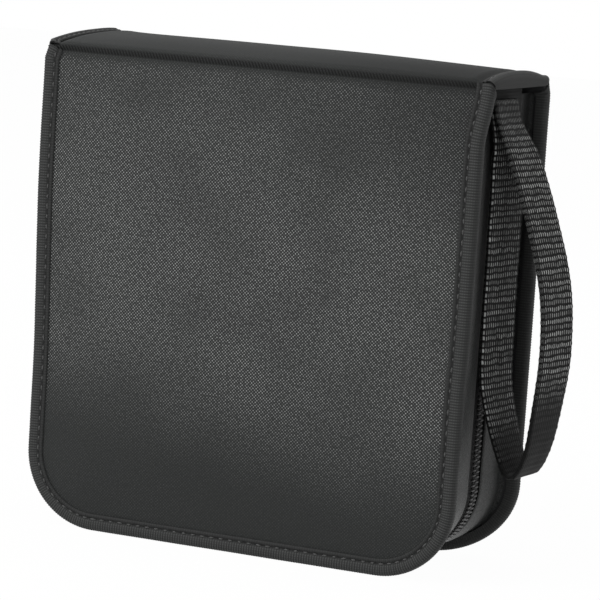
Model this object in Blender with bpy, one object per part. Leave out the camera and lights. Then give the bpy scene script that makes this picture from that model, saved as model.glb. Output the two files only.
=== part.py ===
"""Zipped wallet for discs, standing on its opening edge with the padded spine on top.

Two padded covers fold on a padded spine. A woven strip with a coil zip runs round the other
three sides, and bound sleeves for the discs hang from the spine. A loop of ribbed webbing is
sewn under the right end of the spine.
Frame: +X along the spine, -Y is the front cover, +Z up, origin under the middle of the box.
Sizes are in metres. Depth means how far a point lies inside the front or back face of its cover,
and inset how far it lies inside the outline of the cover.
"""
import math

import bmesh
import bpy
from mathutils import Matrix, Vector

# Sleeves for the discs, which set the size of the case
PAGE_WIDTH = 0.137          # one 120 mm disc with its seams
PAGE_HEIGHT = 0.142
SIDE_ROOM = 0.0036          # page to the zip tape beside it
FOOT_ROOM = 0.0071          # page to the zip tape below it
CORNER_ROOM = 0.0013        # page to the zip tape, where both are rounded
SLEEVE_DROP = 0.0072        # folds down to the bound edge of the sleeves
SLEEVE_HEM = 0.005
STRIP_HALF_WIDTH = 0.009
LEAF_COUNT = 10
LEAF_THICKNESS = 0.0034
LEAF_GAP = 0.0009

# Whole case
TOP_FLARE = 0.0022          # how much further out each side stands near the spine
FLARE_START = 0.045
FLARE_END = 0.128
CASE_DEPTH = 0.055          # front face to back face, at the bindings
CORNER_RADIUS = 0.028       # lower corners of the covers
CLEARANCE = 0.0003          # between sewn layers

# Covers
BINDING_WIDTH = 0.004       # tape seen on the face of a cover
BINDING_TAPE = 0.0005       # thickness of the folded tape
PANEL_TAPE = 0.0006         # nylon with its backing
LINING_TAPE = 0.0005
GUSSET_TAPE = 0.0006
EDGE_MARGIN = 0.0009        # sewn edges stop this far inside the outline
CROWN_RISE = 0.0016         # padding lifts the middle of a cover above its binding
PILLOW_REACH = 0.020        # width of the slope from the binding to the middle
PILLOW_SHARES = (0.16, 0.40, 0.71)  # where that slope is faceted
FOLD_FADE = 0.034           # the padding thins out over this height below the fold
FOLD_SHARE = 0.30           # share of the rise that is left at the fold
FOLD_GAP = 0.0004
BOARD_INSET = 0.008
LINING_DEPTH = 0.0035       # inner face of a lining, over its board

# Gusset and zip
GUSSET_INSET = 0.0043       # outer face of the gusset wall, inside the outline
GUSSET_EDGE = 0.0055        # middle plane to the folded edge of the gusset
TAPE_HALF_WIDTH = 0.0115    # middle plane to the sewn edge of a zip tape
TAPE_THICKNESS = 0.0005
TAPE_SLOT = 0.0006          # middle plane to the free edge of a tape
TOOTH_PITCH = 0.0045
TOOTH_WIDTH = 0.0026
TOOTH_HEIGHT = 0.0012
TOOTH_SLOT = 0.00045        # middle plane to the heads of the teeth
COIL_ROOT = 0.0031          # middle plane to the outer edge of a row of teeth
TOOTH_REACH = 0.0016        # how far each tooth stands out of its coil
CHAIN_TOP_DROP = 0.013      # fold height down to the last teeth
GUSSET_DROP = 0.0052        # fold height down to the upper end of a gusset

# Slider and pull, on the hidden left side
SLIDER_LENGTH = 0.0095
SLIDER_HALF_WIDTH = 0.0048
SLIDER_REAR_HALF_WIDTH = 0.0042
SLIDER_WALL = 0.0009
SLIDER_FLANGE = 0.0007
SLIDER_PLAY = 0.0004
DIVIDER_THICKNESS = 0.0005
DIVIDER_LENGTH = 0.0032
CROWN_HALF_LENGTH = 0.0031
CROWN_BAR = 0.0008
CROWN_HALF_WIDTH = 0.0008
CROWN_CLEAR = 0.0019        # wing to the underside of the crown
PULL_LENGTH = 0.024
PULL_HALF_WIDTH = 0.0032
PULL_THICKNESS = 0.0010
PULL_EYE_LENGTH = 0.0037    # bar of the pull to the far end of its eye
PULL_EYE_HALF_WIDTH = 0.0012
STOP_LENGTH = 0.0018
STOP_WIDTH = 0.0026

# Spine
SPINE_RISE = 0.0040         # crown of the bound ends above the folds
SPINE_FLOOR = 0.0026        # folds down to the underside of the bound ends
SPINE_DIP = 0.0009          # the nylon lies up to this much lower than the bound ends
SPINE_SLOPE = 0.006         # width of the slope beside a bound end
SPINE_LEVEL = 0.020         # from a bound end to where the nylon is level
SPINE_BOARD_MARGIN = 0.0055
TAB_HALF_WIDTH = 0.0120
TAB_THICKNESS = 0.0006
TAB_STANDOFF = 0.0010       # gusset wall to the end tab
TAB_DROP_RIGHT = 0.0115
TAB_DROP_LEFT = 0.0068

# Wrist strap
STRAP_WIDTH = 0.021
STRAP_THICKNESS = 0.0014
STRAP_TWIST = math.radians(9.0)
STRAP_BOW = 0.0222          # how far the loop stands out from its sewn end
STRAP_DROP = 0.1215         # sewn end down to the fold of the loop
STRAP_TOP_DROP = 0.0066     # fold height down to the top of the loop
RIB_PITCH = 0.004           # one rib to the next along the webbing
RIB_DEPTH = 0.00022         # how far the webbing sinks between two ribs, on each face
# Centre line of the loop from its sewn end, as shares of the bow and the drop: (out, down)
STRAP_ROUTE = (
    (0.077, 0.010), (0.095, 0.052), (0.19, 0.117), (0.375, 0.195), (0.57, 0.285),
    (0.81, 0.415), (0.97, 0.52), (1.00, 0.66), (0.93, 0.80), (0.84, 0.915),
    (0.68, 0.985), (0.52, 0.985), (0.37, 0.93), (0.22, 0.85), (0.095, 0.755),
    (0.055, 0.62), (0.045, 0.45), (0.03, 0.25), (0.0, 0.055), (0.0, 0.010),
)

# Faceting
SIDE_STEPS = 6
CORNER_STEPS = 6
SPINE_STEPS = 10
ROUTE_STEPS = 6

TAPE_INSET = GUSSET_INSET + GUSSET_TAPE + CLEARANCE
TAPE_INNER = TAPE_INSET + TAPE_THICKNESS
HALF_PAGE = PAGE_WIDTH / 2
LEAF_CORNER = CORNER_RADIUS - TAPE_INNER - CORNER_ROOM
HALF_DEPTH = CASE_DEPTH / 2
HALF_WIDTH = HALF_PAGE + SIDE_ROOM + TAPE_INNER
HALF_TOP = HALF_WIDTH + TOP_FLARE
FOLD_HEIGHT = TAPE_INNER + FOOT_ROOM + PAGE_HEIGHT + SLEEVE_DROP
BINDING_DEPTH = LINING_DEPTH + CLEARANCE
PANEL_EDGE = BINDING_TAPE + CLEARANCE
LINING_EDGE = PANEL_EDGE + PANEL_TAPE + CLEARANCE
GUSSET_SEAM = LINING_EDGE + LINING_TAPE + CLEARANCE
TOOTH_INSET = TAPE_INSET - CLEARANCE - TOOTH_HEIGHT
WING_INSET = TOOTH_INSET - SLIDER_PLAY - SLIDER_WALL
CROWN_FACE = WING_INSET - CROWN_CLEAR
PULL_INSET = WING_INSET - CROWN_CLEAR * 0.5
CHAIN_TOP = FOLD_HEIGHT - CHAIN_TOP_DROP
SLIDER_TOP = CHAIN_TOP + CLEARANCE * 2 + DIVIDER_LENGTH
SLIDER_FOOT = SLIDER_TOP - SLIDER_LENGTH
CROWN_MIDDLE = SLIDER_TOP - SLIDER_LENGTH / 2
STRAP_ANCHOR_X = HALF_WIDTH - GUSSET_INSET + TAB_STANDOFF + TAB_THICKNESS + CLEARANCE + STRAP_THICKNESS / 2

NYLON = ("woven nylon", (0.045, 0.047, 0.046, 1.0), 0.62, 0.0)
TAPE = ("ribbed binding tape", (0.030, 0.031, 0.031, 1.0), 0.70, 0.0)
GRAINED = ("grained strip", (0.020, 0.021, 0.021, 1.0), 0.48, 0.0)
WEBBING = ("ribbed webbing", (0.014, 0.014, 0.014, 1.0), 0.66, 0.0)
ZIP_TAPE = ("zip tape", (0.012, 0.012, 0.012, 1.0), 0.80, 0.0)
COIL = ("zip coil", (0.010, 0.010, 0.010, 1.0), 0.35, 0.0)
BLACK_METAL = ("painted slider", (0.012, 0.012, 0.012, 1.0), 0.35, 0.6)
BOARD = ("grey board", (0.16, 0.15, 0.14, 1.0), 0.85, 0.0)
LINING = ("lining cloth", (0.022, 0.022, 0.023, 1.0), 0.80, 0.0)
SLEEVE = ("clear sleeves", (0.30, 0.31, 0.32, 1.0), 0.30, 0.0)


def clear_scene():
    for item in list(bpy.data.objects):
        bpy.data.objects.remove(item, do_unlink=True)


def material(finish):
    """One Principled material for each finish, made once."""
    name, colour, roughness, metallic = finish
    found = bpy.data.materials.get(name)
    if found:
        return found
    made = bpy.data.materials.new(name)
    made.use_nodes = True
    shader = made.node_tree.nodes["Principled BSDF"]
    shader.inputs["Base Color"].default_value = colour
    shader.inputs["Roughness"].default_value = roughness
    shader.inputs["Metallic"].default_value = metallic
    made.diffuse_color = colour
    return made


def ease(share):
    """Smooth step from 0 to 1."""
    share = min(1.0, max(0.0, share))
    return share * share * (3.0 - 2.0 * share)


def flare_at(height):
    return TOP_FLARE * ease((height - FLARE_START) / (FLARE_END - FLARE_START))


def rim(inset, top, flare=1.0):
    """Points (x, z) of the cover's outline at an inset, from the left fold round to the right."""
    reach = max(CORNER_RADIUS, inset)
    radius = reach - inset
    centre_x = HALF_WIDTH - reach
    half = []
    for step in range(CORNER_STEPS + 1):
        angle = math.radians(-90.0 + 90.0 * step / CORNER_STEPS)
        half.append((centre_x + radius * math.cos(angle), reach + radius * math.sin(angle)))
    for step in range(1, SIDE_STEPS + 1):
        height = reach + (top - reach) * step / SIDE_STEPS
        half.append((HALF_WIDTH - inset + flare * flare_at(height), height))
    return [(-x, z) for x, z in reversed(half)] + half


def fold_top(depth):
    """Upper end of a layer: layers are mitred at the fold, down to the gusset's end."""
    return FOLD_HEIGHT - FOLD_GAP - min(depth, GUSSET_DROP - FOLD_GAP)


def loft(rings, closed_section=True, cap=True):
    """Faces between rings of equal length; the ends are capped with the rings themselves."""
    bm = bmesh.new()
    rows = [[bm.verts.new(point) for point in ring] for ring in rings]
    count = len(rows[0])
    spans = range(count) if closed_section else range(count - 1)
    for near, far in zip(rows, rows[1:]):
        for k in spans:
            n = (k + 1) % count
            bm.faces.new((near[k], near[n], far[n], far[k]))
    if cap:
        bm.faces.new(rows[0])
        bm.faces.new(rows[-1])
    return bm


def round_the_rim(section, side, tops=None):
    """Rings of a section (inset, depth, flare) carried round the three open sides."""
    columns = []
    for k, (inset, depth, flare) in enumerate(section):
        top = tops[k] if tops else fold_top(depth)
        y = side * (HALF_DEPTH - depth)
        columns.append([Vector((x, y, z)) for x, z in rim(inset, top, flare)])
    return [list(ring) for ring in zip(*columns)]


def finish_mesh(bm, weld=1e-6):
    bmesh.ops.remove_doubles(bm, verts=bm.verts, dist=weld)
    bmesh.ops.dissolve_degenerate(bm, edges=bm.edges, dist=weld)
    bmesh.ops.recalc_face_normals(bm, faces=bm.faces)


def add_part(name, bm, finish, holder, smooth_angle=40.0):
    """An object from a mesh in case coordinates, held by an empty on its joint's axis."""
    finish_mesh(bm)
    mesh = bpy.data.meshes.new(name)
    bm.to_mesh(mesh)
    bm.free()
    mesh.transform(Matrix.Translation(-Vector(holder["case_place"])))
    mesh.shade_smooth()
    mesh.set_sharp_from_angle(angle=math.radians(smooth_angle))
    mesh.materials.append(material(finish))
    part = bpy.data.objects.new(name, mesh)
    part.parent = holder
    parts.objects.link(part)
    return part


def add_holder(name, place, parent=None):
    """An empty at a place in case coordinates; the pieces of one moving body hang on it."""
    holder = bpy.data.objects.new(name, None)
    holder["case_place"] = tuple(place)
    holder.empty_display_size = 0.01
    if parent:
        holder.parent = parent
        holder.location = Vector(place) - Vector(parent["case_place"])
    else:
        holder.location = Vector(place) + Vector((CASE_X, 0.0, 0.0))
    parts.objects.link(holder)
    return holder


def box(bm, low, high):
    """A block between two corners, added to a mesh."""
    size = Vector(high) - Vector(low)
    place = Matrix.Translation((Vector(low) + Vector(high)) / 2)
    made = bmesh.ops.create_cube(bm, size=1.0, matrix=place @ Matrix.Diagonal((*size, 1.0)))
    return made["verts"]


def join_solids(meshes):
    """One solid from several overlapping ones, with an exact Boolean union."""
    objects = []
    for bm in meshes:
        finish_mesh(bm)
        mesh = bpy.data.meshes.new("join")
        bm.to_mesh(mesh)
        bm.free()
        piece = bpy.data.objects.new("join", mesh)
        bpy.context.scene.collection.objects.link(piece)
        objects.append(piece)
    first = objects[0]
    for other in objects[1:]:
        union = first.modifiers.new("union", "BOOLEAN")
        union.operation = "UNION"
        union.solver = "EXACT"
        union.object = other
    shape = first.evaluated_get(bpy.context.evaluated_depsgraph_get())
    joined = bmesh.new()
    joined.from_mesh(shape.to_mesh())
    shape.to_mesh_clear()
    for piece in objects:
        bpy.data.objects.remove(piece, do_unlink=True)
    return joined


def panel_depth(inset, height):
    """Depth of the nylon's outer face: under the binding, then up over the padding."""
    slope = math.sin(math.pi / 2 * min(1.0, max(0.0, (inset - BINDING_WIDTH - CLEARANCE) / PILLOW_REACH)))
    fade = FOLD_SHARE + (1.0 - FOLD_SHARE) * ease((FOLD_HEIGHT - height) / FOLD_FADE)
    return PANEL_EDGE - (PANEL_EDGE + CROWN_RISE) * slope * fade


def layer(levels, outer_depth, inner_depth, side):
    """A closed sheet: two faces lofted over the whole cover, joined round the rim and the fold.

    Levels are (inset, flare) from the rim to the centre line. A depth is a function of the
    inset and the height, so a face can swell over the padding.
    """
    bm = bmesh.new()
    faces = []
    for depth_at in (outer_depth, inner_depth):
        columns = []
        for inset, flare in levels:
            top = fold_top(depth_at(inset, FOLD_HEIGHT))
            columns.append([
                bm.verts.new((x, side * (HALF_DEPTH - depth_at(inset, z)), z))
                for x, z in rim(inset, top, flare)
            ])
        faces.append(columns)
        for near, far in zip(columns, columns[1:]):
            for k in range(len(near) - 1):
                bm.faces.new((near[k], near[k + 1], far[k + 1], far[k]))
    outer, inner = faces
    for k in range(len(outer[0]) - 1):
        bm.faces.new((outer[0][k], inner[0][k], inner[0][k + 1], outer[0][k + 1]))
    for end in (0, -1):
        for k in range(len(levels) - 1):
            bm.faces.new((outer[k][end], outer[k + 1][end], inner[k + 1][end], inner[k][end]))
    return bm


def cover_panel(name, side, holder):
    foot = BINDING_WIDTH + CLEARANCE
    slope = [foot + PILLOW_REACH * share for share in PILLOW_SHARES]
    insets = [EDGE_MARGIN, foot] + slope + [max(CORNER_RADIUS, foot + PILLOW_REACH), HALF_WIDTH]
    levels = [(inset, 1.0 - inset / HALF_WIDTH) for inset in insets]
    bm = layer(levels, panel_depth, lambda inset, z: panel_depth(inset, z) + PANEL_TAPE, side)
    return add_part(name, bm, NYLON, holder)


def cover_board(name, side, holder):
    foot = BINDING_WIDTH + CLEARANCE
    insets = (BOARD_INSET, foot + PILLOW_REACH / 2, max(CORNER_RADIUS, foot + PILLOW_REACH), HALF_WIDTH)
    under_panel = PANEL_TAPE + CLEARANCE
    inner = LINING_DEPTH - LINING_TAPE - CLEARANCE
    bm = layer(
        [(inset, 0.0) for inset in insets],
        lambda inset, z: panel_depth(max(inset - TOP_FLARE, 0.0), z) + under_panel,
        lambda inset, z: inner, side,
    )
    return add_part(name, bm, BOARD, holder)


def lining_depth(inset, height):
    """Outer face of the lining: flat in the seam, then a step down over the board's edge."""
    start = GUSSET_INSET + GUSSET_TAPE + CLEARANCE
    step = min(1.0, max(0.0, (inset - start) / (BOARD_INSET - start)))
    return LINING_EDGE + (LINING_DEPTH - LINING_TAPE - LINING_EDGE) * step


def cover_lining(name, side, holder):
    start = GUSSET_INSET + GUSSET_TAPE + CLEARANCE
    levels = ((EDGE_MARGIN, 1.0), (start, 0.0), (BOARD_INSET, 0.0), (HALF_WIDTH, 0.0))
    bm = layer(levels, lining_depth, lambda inset, z: lining_depth(inset, z) + LINING_TAPE, side)
    return add_part(name, bm, LINING, holder)


def cover_binding(name, side, holder):
    """Tape folded round the cover's edge, open towards the middle of the cover."""
    tape = BINDING_TAPE
    inner = BINDING_DEPTH
    crease = tape * 0.4
    outline = (
        (BINDING_WIDTH, 0.0), (tape, 0.0), (0.0, tape), (0.0, inner), (tape, inner + tape),
        (BINDING_WIDTH, inner + tape), (BINDING_WIDTH, inner), (tape, inner - crease),
        (tape, tape + crease), (BINDING_WIDTH, tape),
    )
    section = [(inset, depth, 1.0) for inset, depth in outline]
    return add_part(name, loft(round_the_rim(section, side)), TAPE, holder)


def gusset(name, side, holder):
    """Strip sewn into the binding and turned inwards to the zip, with a folded free edge."""
    wall = GUSSET_INSET
    edge = HALF_DEPTH - GUSSET_EDGE
    seam = GUSSET_SEAM
    section = (
        (EDGE_MARGIN, seam, 1.0), (wall + GUSSET_TAPE, seam, 0.0), (wall + GUSSET_TAPE, edge, 0.0),
        (wall, edge, 0.0), (wall, seam + GUSSET_TAPE, 0.0), (EDGE_MARGIN, seam + GUSSET_TAPE, 1.0),
    )
    return add_part(name, loft(round_the_rim(section, side)), GRAINED, holder)


def zip_tape(name, side, holder):
    outer = TAPE_INSET
    inner = TAPE_INNER
    sewn = HALF_DEPTH - TAPE_HALF_WIDTH
    free = HALF_DEPTH - TAPE_SLOT
    section = ((outer, sewn, 0.0), (inner, sewn, 0.0), (inner, free, 0.0), (outer, free, 0.0))
    return add_part(name, loft(round_the_rim(section, side)), ZIP_TAPE, holder)


def measured_rim(inset, top):
    """The outline at an inset as points with their distance along it, finely stepped."""
    radius = CORNER_RADIUS - inset
    side_run = top - CORNER_RADIUS
    arc_run = radius * math.pi / 2
    foot_run = 2 * (HALF_WIDTH - CORNER_RADIUS)

    def at(distance):
        """Point and outward direction at a distance from the left end."""
        total = 2 * side_run + 2 * arc_run + foot_run
        mirrored = distance > total / 2
        run = total - distance if mirrored else distance
        if run < side_run:
            point, out = (-(HALF_WIDTH - inset), top - run), (-1.0, 0.0)
        elif run < side_run + arc_run:
            angle = math.pi + (run - side_run) / radius
            out = (math.cos(angle), math.sin(angle))
            point = (-(HALF_WIDTH - CORNER_RADIUS) + radius * out[0], CORNER_RADIUS + radius * out[1])
        else:
            along = run - side_run - arc_run
            point, out = (-(HALF_WIDTH - CORNER_RADIUS) + along, inset), (0.0, -1.0)
        sign = -1.0 if mirrored else 1.0
        return (sign * point[0], point[1]), (sign * out[0], out[1])

    return at, 2 * side_run + 2 * arc_run + foot_run


def zip_teeth(name, side, holder):
    """One row of the coil: a cord round the three sides with a tooth pulled out at each pitch.

    The two rows are half a pitch apart, and their heads leave the slot for the slider's divider.
    """
    at, length = measured_rim(TOOTH_INSET, CHAIN_TOP)
    shift = TOOTH_PITCH / 2 if side > 0 else 0.0
    count = int((length - shift - TOOTH_WIDTH) / TOOTH_PITCH) + 1
    marks = [0.0]
    for k in range(count):
        start = shift + k * TOOTH_PITCH
        marks += [start, start + TOOTH_WIDTH]
    marks.append(length)
    marks = sorted(set(round(mark, 7) for mark in marks))
    root = side * COIL_ROOT
    head_base = side * (TOOTH_SLOT + TOOTH_REACH)
    rings = []
    for mark in marks:
        (x, z), (out_x, out_z) = at(mark)
        deep_x = x - out_x * TOOTH_HEIGHT
        deep_z = z - out_z * TOOTH_HEIGHT
        rings.append([
            Vector((x, root, z)), Vector((x, head_base, z)),
            Vector((deep_x, head_base, deep_z)), Vector((deep_x, root, deep_z)),
        ])
    bm = loft(rings)
    bm.faces.ensure_lookup_table()
    teeth = []
    for k, (start, end) in enumerate(zip(marks, marks[1:])):
        on_pitch = abs((start - shift) / TOOTH_PITCH % 1.0 - 0.5) > 0.49
        if on_pitch and abs(end - start - TOOTH_WIDTH) < 1e-6:
            teeth.append(bm.faces[k * 4 + 1])
    pulled = bmesh.ops.extrude_discrete_faces(bm, faces=teeth)["faces"]
    for face in pulled:
        bmesh.ops.translate(bm, verts=face.verts, vec=(0.0, -side * TOOTH_REACH, 0.0))
    return add_part(name, bm, COIL, holder, smooth_angle=25.0)


def stop(name, side, right, holder, low):
    """A small clamp on the free edge of a tape, beyond the last tooth."""
    inner = TAPE_INSET - CLEARANCE
    outer = inner - TOOTH_HEIGHT
    hand = 1.0 if right else -1.0
    xs = sorted((hand * (HALF_WIDTH - outer), hand * (HALF_WIDTH - inner)))
    ys = sorted((side * TAPE_SLOT, side * (TAPE_SLOT + STOP_WIDTH)))
    bm = bmesh.new()
    box(bm, (xs[0], ys[0], low), (xs[1], ys[1], low + STOP_LENGTH))
    bmesh.ops.bevel(bm, geom=bm.edges[:], offset=0.00025, segments=1, profile=0.5, affect="EDGES")
    return add_part(name, bm, BLACK_METAL, holder)


def left_x(inset):
    return -(HALF_WIDTH - inset)


def plate(outline, low_inset, high_inset):
    """A flat plate facing sideways on the left: an outline (y, z) between two insets."""
    rings = [[Vector((left_x(inset), y, z)) for y, z in outline] for inset in (low_inset, high_inset)]
    return loft(rings)


def zip_slider(name, holder):
    """Two wings joined by a thin divider at the mouth, with a side flange and a crown.

    Only the side of the back cover has the flange, so the front half of the zip can swing out.
    """
    wide, narrow = SLIDER_HALF_WIDTH, SLIDER_REAR_HALF_WIDTH
    top, foot = SLIDER_TOP, SLIDER_FOOT
    shoulder = top - SLIDER_LENGTH * 0.35
    outline = ((-narrow, foot), (narrow, foot), (wide, shoulder), (wide, top), (-wide, top), (-wide, shoulder))
    inner_face = TAPE_INNER + SLIDER_PLAY
    outer_wing = plate(outline, WING_INSET, WING_INSET + SLIDER_WALL)
    inner_wing = plate(outline, inner_face, inner_face + SLIDER_WALL)
    solids = [outer_wing, inner_wing]
    rail = (
        (narrow - SLIDER_FLANGE, foot), (narrow, foot), (wide, shoulder), (wide, top),
        (wide - SLIDER_FLANGE, top), (wide - SLIDER_FLANGE, shoulder),
    )
    solids.append(plate(rail, WING_INSET + SLIDER_WALL / 2, TAPE_INSET - SLIDER_PLAY))
    half = DIVIDER_THICKNESS / 2
    divider = ((-half, top - DIVIDER_LENGTH), (half, top - DIVIDER_LENGTH), (half, top), (-half, top))
    solids.append(plate(divider, WING_INSET + SLIDER_WALL / 2, inner_face + SLIDER_WALL / 2))
    solids.append(slider_crown())
    return add_part(name, join_solids(solids), BLACK_METAL, holder)


def slider_crown():
    """The bridge along the wing that the pull hangs on."""
    reach, bar = CROWN_HALF_LENGTH, CROWN_BAR
    foot = WING_INSET + SLIDER_WALL / 2
    under = WING_INSET - CROWN_CLEAR
    over = under - bar
    outline = (
        (foot, -reach), (over + bar, -reach), (over, -reach + bar), (over, reach - bar),
        (over + bar, reach), (foot, reach), (foot, reach - bar), (under, reach - bar),
        (under, -reach + bar), (foot, -reach + bar),
    )
    rings = [
        [Vector((left_x(inset), y, CROWN_MIDDLE + z)) for inset, z in outline]
        for y in (-CROWN_HALF_WIDTH, CROWN_HALF_WIDTH)
    ]
    return loft(rings)


def zip_pull(name, holder):
    """Flat tab hanging from the crown: its upper bar sits under the crown, its eye round it."""
    half = PULL_HALF_WIDTH
    bar = PULL_THICKNESS / 2
    middle = CROWN_MIDDLE
    low = middle - PULL_LENGTH
    outer = PULL_INSET - bar
    inner = PULL_INSET + bar
    outline = ((-half * 0.8, middle + bar), (half * 0.8, middle + bar), (half, middle - half),
               (half, low + half * 0.6), (half * 0.6, low), (-half * 0.6, low),
               (-half, low + half * 0.6), (-half, middle - half))
    tab = plate(outline, outer, inner)
    eye = PULL_EYE_HALF_WIDTH
    cutter = plate(
        ((-eye, middle - bar), (eye, middle - bar), (eye, middle - PULL_EYE_LENGTH),
         (-eye, middle - PULL_EYE_LENGTH)),
        outer - bar, inner + bar,
    )
    return add_part(name, cut_solid(tab, cutter), BLACK_METAL, holder)


def cut_solid(solid, cutter):
    """A solid with another taken out of it, with an exact Boolean."""
    objects = []
    for bm in (solid, cutter):
        finish_mesh(bm)
        mesh = bpy.data.meshes.new("cut")
        bm.to_mesh(mesh)
        bm.free()
        piece = bpy.data.objects.new("cut", mesh)
        bpy.context.scene.collection.objects.link(piece)
        objects.append(piece)
    difference = objects[0].modifiers.new("cut", "BOOLEAN")
    difference.operation = "DIFFERENCE"
    difference.solver = "EXACT"
    difference.object = objects[1]
    shape = objects[0].evaluated_get(bpy.context.evaluated_depsgraph_get())
    result = bmesh.new()
    result.from_mesh(shape.to_mesh())
    shape.to_mesh_clear()
    for piece in objects:
        bpy.data.objects.remove(piece, do_unlink=True)
    return result


def arch(y, rise):
    """Height of an arch over the folds, as a share of the depth of the case."""
    return rise * (1.0 - (y / HALF_DEPTH) ** 2)


def spine_stations(height):
    """Places across the spine, shortened below the folds by the mitre with the covers."""
    reach = HALF_DEPTH - max(0.0, FOLD_HEIGHT - height)
    return [reach * (2.0 * k / SPINE_STEPS - 1.0) for k in range(SPINE_STEPS + 1)]


def spine_section(points):
    """Rings across the spine: each point is (x, drop, rise) below or over the folds."""
    columns = []
    for x, drop, rise in points:
        height = FOLD_HEIGHT - drop
        columns.append([Vector((x, y, height + arch(y, rise))) for y in spine_stations(height)])
    return [list(ring) for ring in zip(*columns)]


def spine_panel(name, holder):
    """Arched nylon, lower under the binding at both ends."""
    under = BINDING_TAPE + CLEARANCE
    edge = HALF_TOP - EDGE_MARGIN
    lip = HALF_TOP - BINDING_WIDTH - CLEARANCE
    places = (edge, lip, lip - SPINE_SLOPE, lip - SPINE_LEVEL, 0.0)
    drops = (under, under, SPINE_DIP * 0.5, SPINE_DIP * 0.4, SPINE_DIP * 0.3)
    upper = list(zip(places, drops))
    whole = [(-x, drop) for x, drop in upper] + [(x, drop) for x, drop in reversed(upper[:-1])]
    top = [(x, drop, SPINE_RISE - drop) for x, drop in whole]
    under_side = [(x, drop + PANEL_TAPE, SPINE_RISE - drop) for x, drop in reversed(whole)]
    return add_part(name, loft(spine_section(top + under_side)), NYLON, holder)


def spine_board(name, holder):
    """Padding and board under the nylon, flat below."""
    edge = HALF_TOP - BINDING_WIDTH - SPINE_BOARD_MARGIN
    reach = HALF_DEPTH - SPINE_BOARD_MARGIN
    floor = FOLD_HEIGHT - SPINE_FLOOR + BINDING_TAPE + CLEARANCE + LINING_TAPE + CLEARANCE
    cover = BINDING_TAPE + CLEARANCE + PANEL_TAPE + CLEARANCE
    rings = []
    for k in range(SPINE_STEPS + 1):
        y = reach * (2.0 * k / SPINE_STEPS - 1.0)
        top = FOLD_HEIGHT - cover + arch(y, SPINE_RISE - BINDING_TAPE - CLEARANCE)
        rings.append([Vector((x, y, z)) for x, z in ((-edge, floor), (edge, floor), (edge, top), (-edge, top))])
    return add_part(name, loft(rings), BOARD, holder)


def spine_lining(name, holder):
    edge = HALF_TOP - EDGE_MARGIN
    low = SPINE_FLOOR - BINDING_TAPE - CLEARANCE
    points = ((-edge, low, 0.0), (edge, low, 0.0), (edge, low - LINING_TAPE, 0.0), (-edge, low - LINING_TAPE, 0.0))
    rings = spine_section(points)
    return add_part(name, loft([rings[0], rings[-1]]), LINING, holder)


def spine_binding(name, hand, holder):
    """Tape folded round an end of the spine: arched above, flat below."""
    outer = HALF_TOP
    lip = HALF_TOP - BINDING_WIDTH
    tape = BINDING_TAPE
    floor = SPINE_FLOOR
    outline = (
        (lip, 0.0, SPINE_RISE), (outer - tape, 0.0, SPINE_RISE), (outer, tape, SPINE_RISE),
        (outer, floor - tape, 0.0), (outer - tape, floor, 0.0), (lip, floor, 0.0),
        (lip, floor - tape, 0.0), (outer - tape, floor - tape, 0.0), (outer - tape, tape, SPINE_RISE),
        (lip, tape, SPINE_RISE),
    )
    points = [(hand * x, drop, rise) for x, drop, rise in outline]
    return add_part(name, loft(spine_section(points)), TAPE, holder)


def end_tab(name, hand, drop, holder):
    """Tab under an end of the spine, to which the zip and the strap are sewn."""
    wall = HALF_WIDTH - GUSSET_INSET + TAB_STANDOFF
    xs = sorted((hand * wall, hand * (wall + TAB_THICKNESS)))
    top = FOLD_HEIGHT - SPINE_FLOOR - CLEARANCE
    bm = bmesh.new()
    box(bm, (xs[0], -TAB_HALF_WIDTH, FOLD_HEIGHT - drop), (xs[1], TAB_HALF_WIDTH, top))
    return add_part(name, bm, GRAINED, holder)


def disc_sleeves(name, holder):
    """The bound stack of sleeves: leaves hanging from one hem, with rounded lower corners."""
    pitch = LEAF_THICKNESS + LEAF_GAP
    width = LEAF_COUNT * pitch - LEAF_GAP
    top = FOLD_HEIGHT - SLEEVE_DROP
    hem = top - SLEEVE_HEM
    foot = top - PAGE_HEIGHT
    profile = [(-width / 2, top)]
    for k in range(LEAF_COUNT):
        near = -width / 2 + k * pitch
        far = near + LEAF_THICKNESS
        profile += [(near, hem if k else foot), (near, foot), (far, foot), (far, hem)] if k else \
            [(near, foot), (far, foot), (far, hem)]
    profile[-1] = (width / 2, top)
    rings = [[Vector((x, y, z)) for y, z in profile] for x in (-HALF_PAGE, HALF_PAGE)]
    bm = loft(rings)
    corners = []
    for edge in bm.edges:
        a, b = edge.verts
        level = abs(a.co.z - foot) < 1e-6 and abs(b.co.z - foot) < 1e-6
        if level and abs(a.co.x - b.co.x) < 1e-6:
            corners.append(edge)
    bmesh.ops.bevel(bm, geom=corners, offset=LEAF_CORNER, segments=5, profile=0.5, affect="EDGES")
    return add_part(name, bm, SLEEVE, holder)


def sleeve_strip(name, holder):
    """Strip between the hem of the sleeves and the lining of the spine."""
    low = FOLD_HEIGHT - SLEEVE_DROP + CLEARANCE
    high = FOLD_HEIGHT - SPINE_FLOOR + BINDING_TAPE
    bm = bmesh.new()
    box(bm, (-HALF_PAGE, -STRIP_HALF_WIDTH, low), (HALF_PAGE, STRIP_HALF_WIDTH, high))
    return add_part(name, bm, LINING, holder)


def through(points, steps):
    """A smooth closed curve through points, by Catmull-Rom spans of equal steps."""
    count = len(points)
    curve = []
    for k in range(count):
        a, b, c, d = (Vector(points[(k + shift) % count]) for shift in (-1, 0, 1, 2))
        for step in range(steps):
            t = step / steps
            curve.append(0.5 * (2 * b + (c - a) * t + (2 * a - 5 * b + 4 * c - d) * t * t
                                + (3 * b - a - 3 * c + d) * t ** 3))
    return curve


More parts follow.
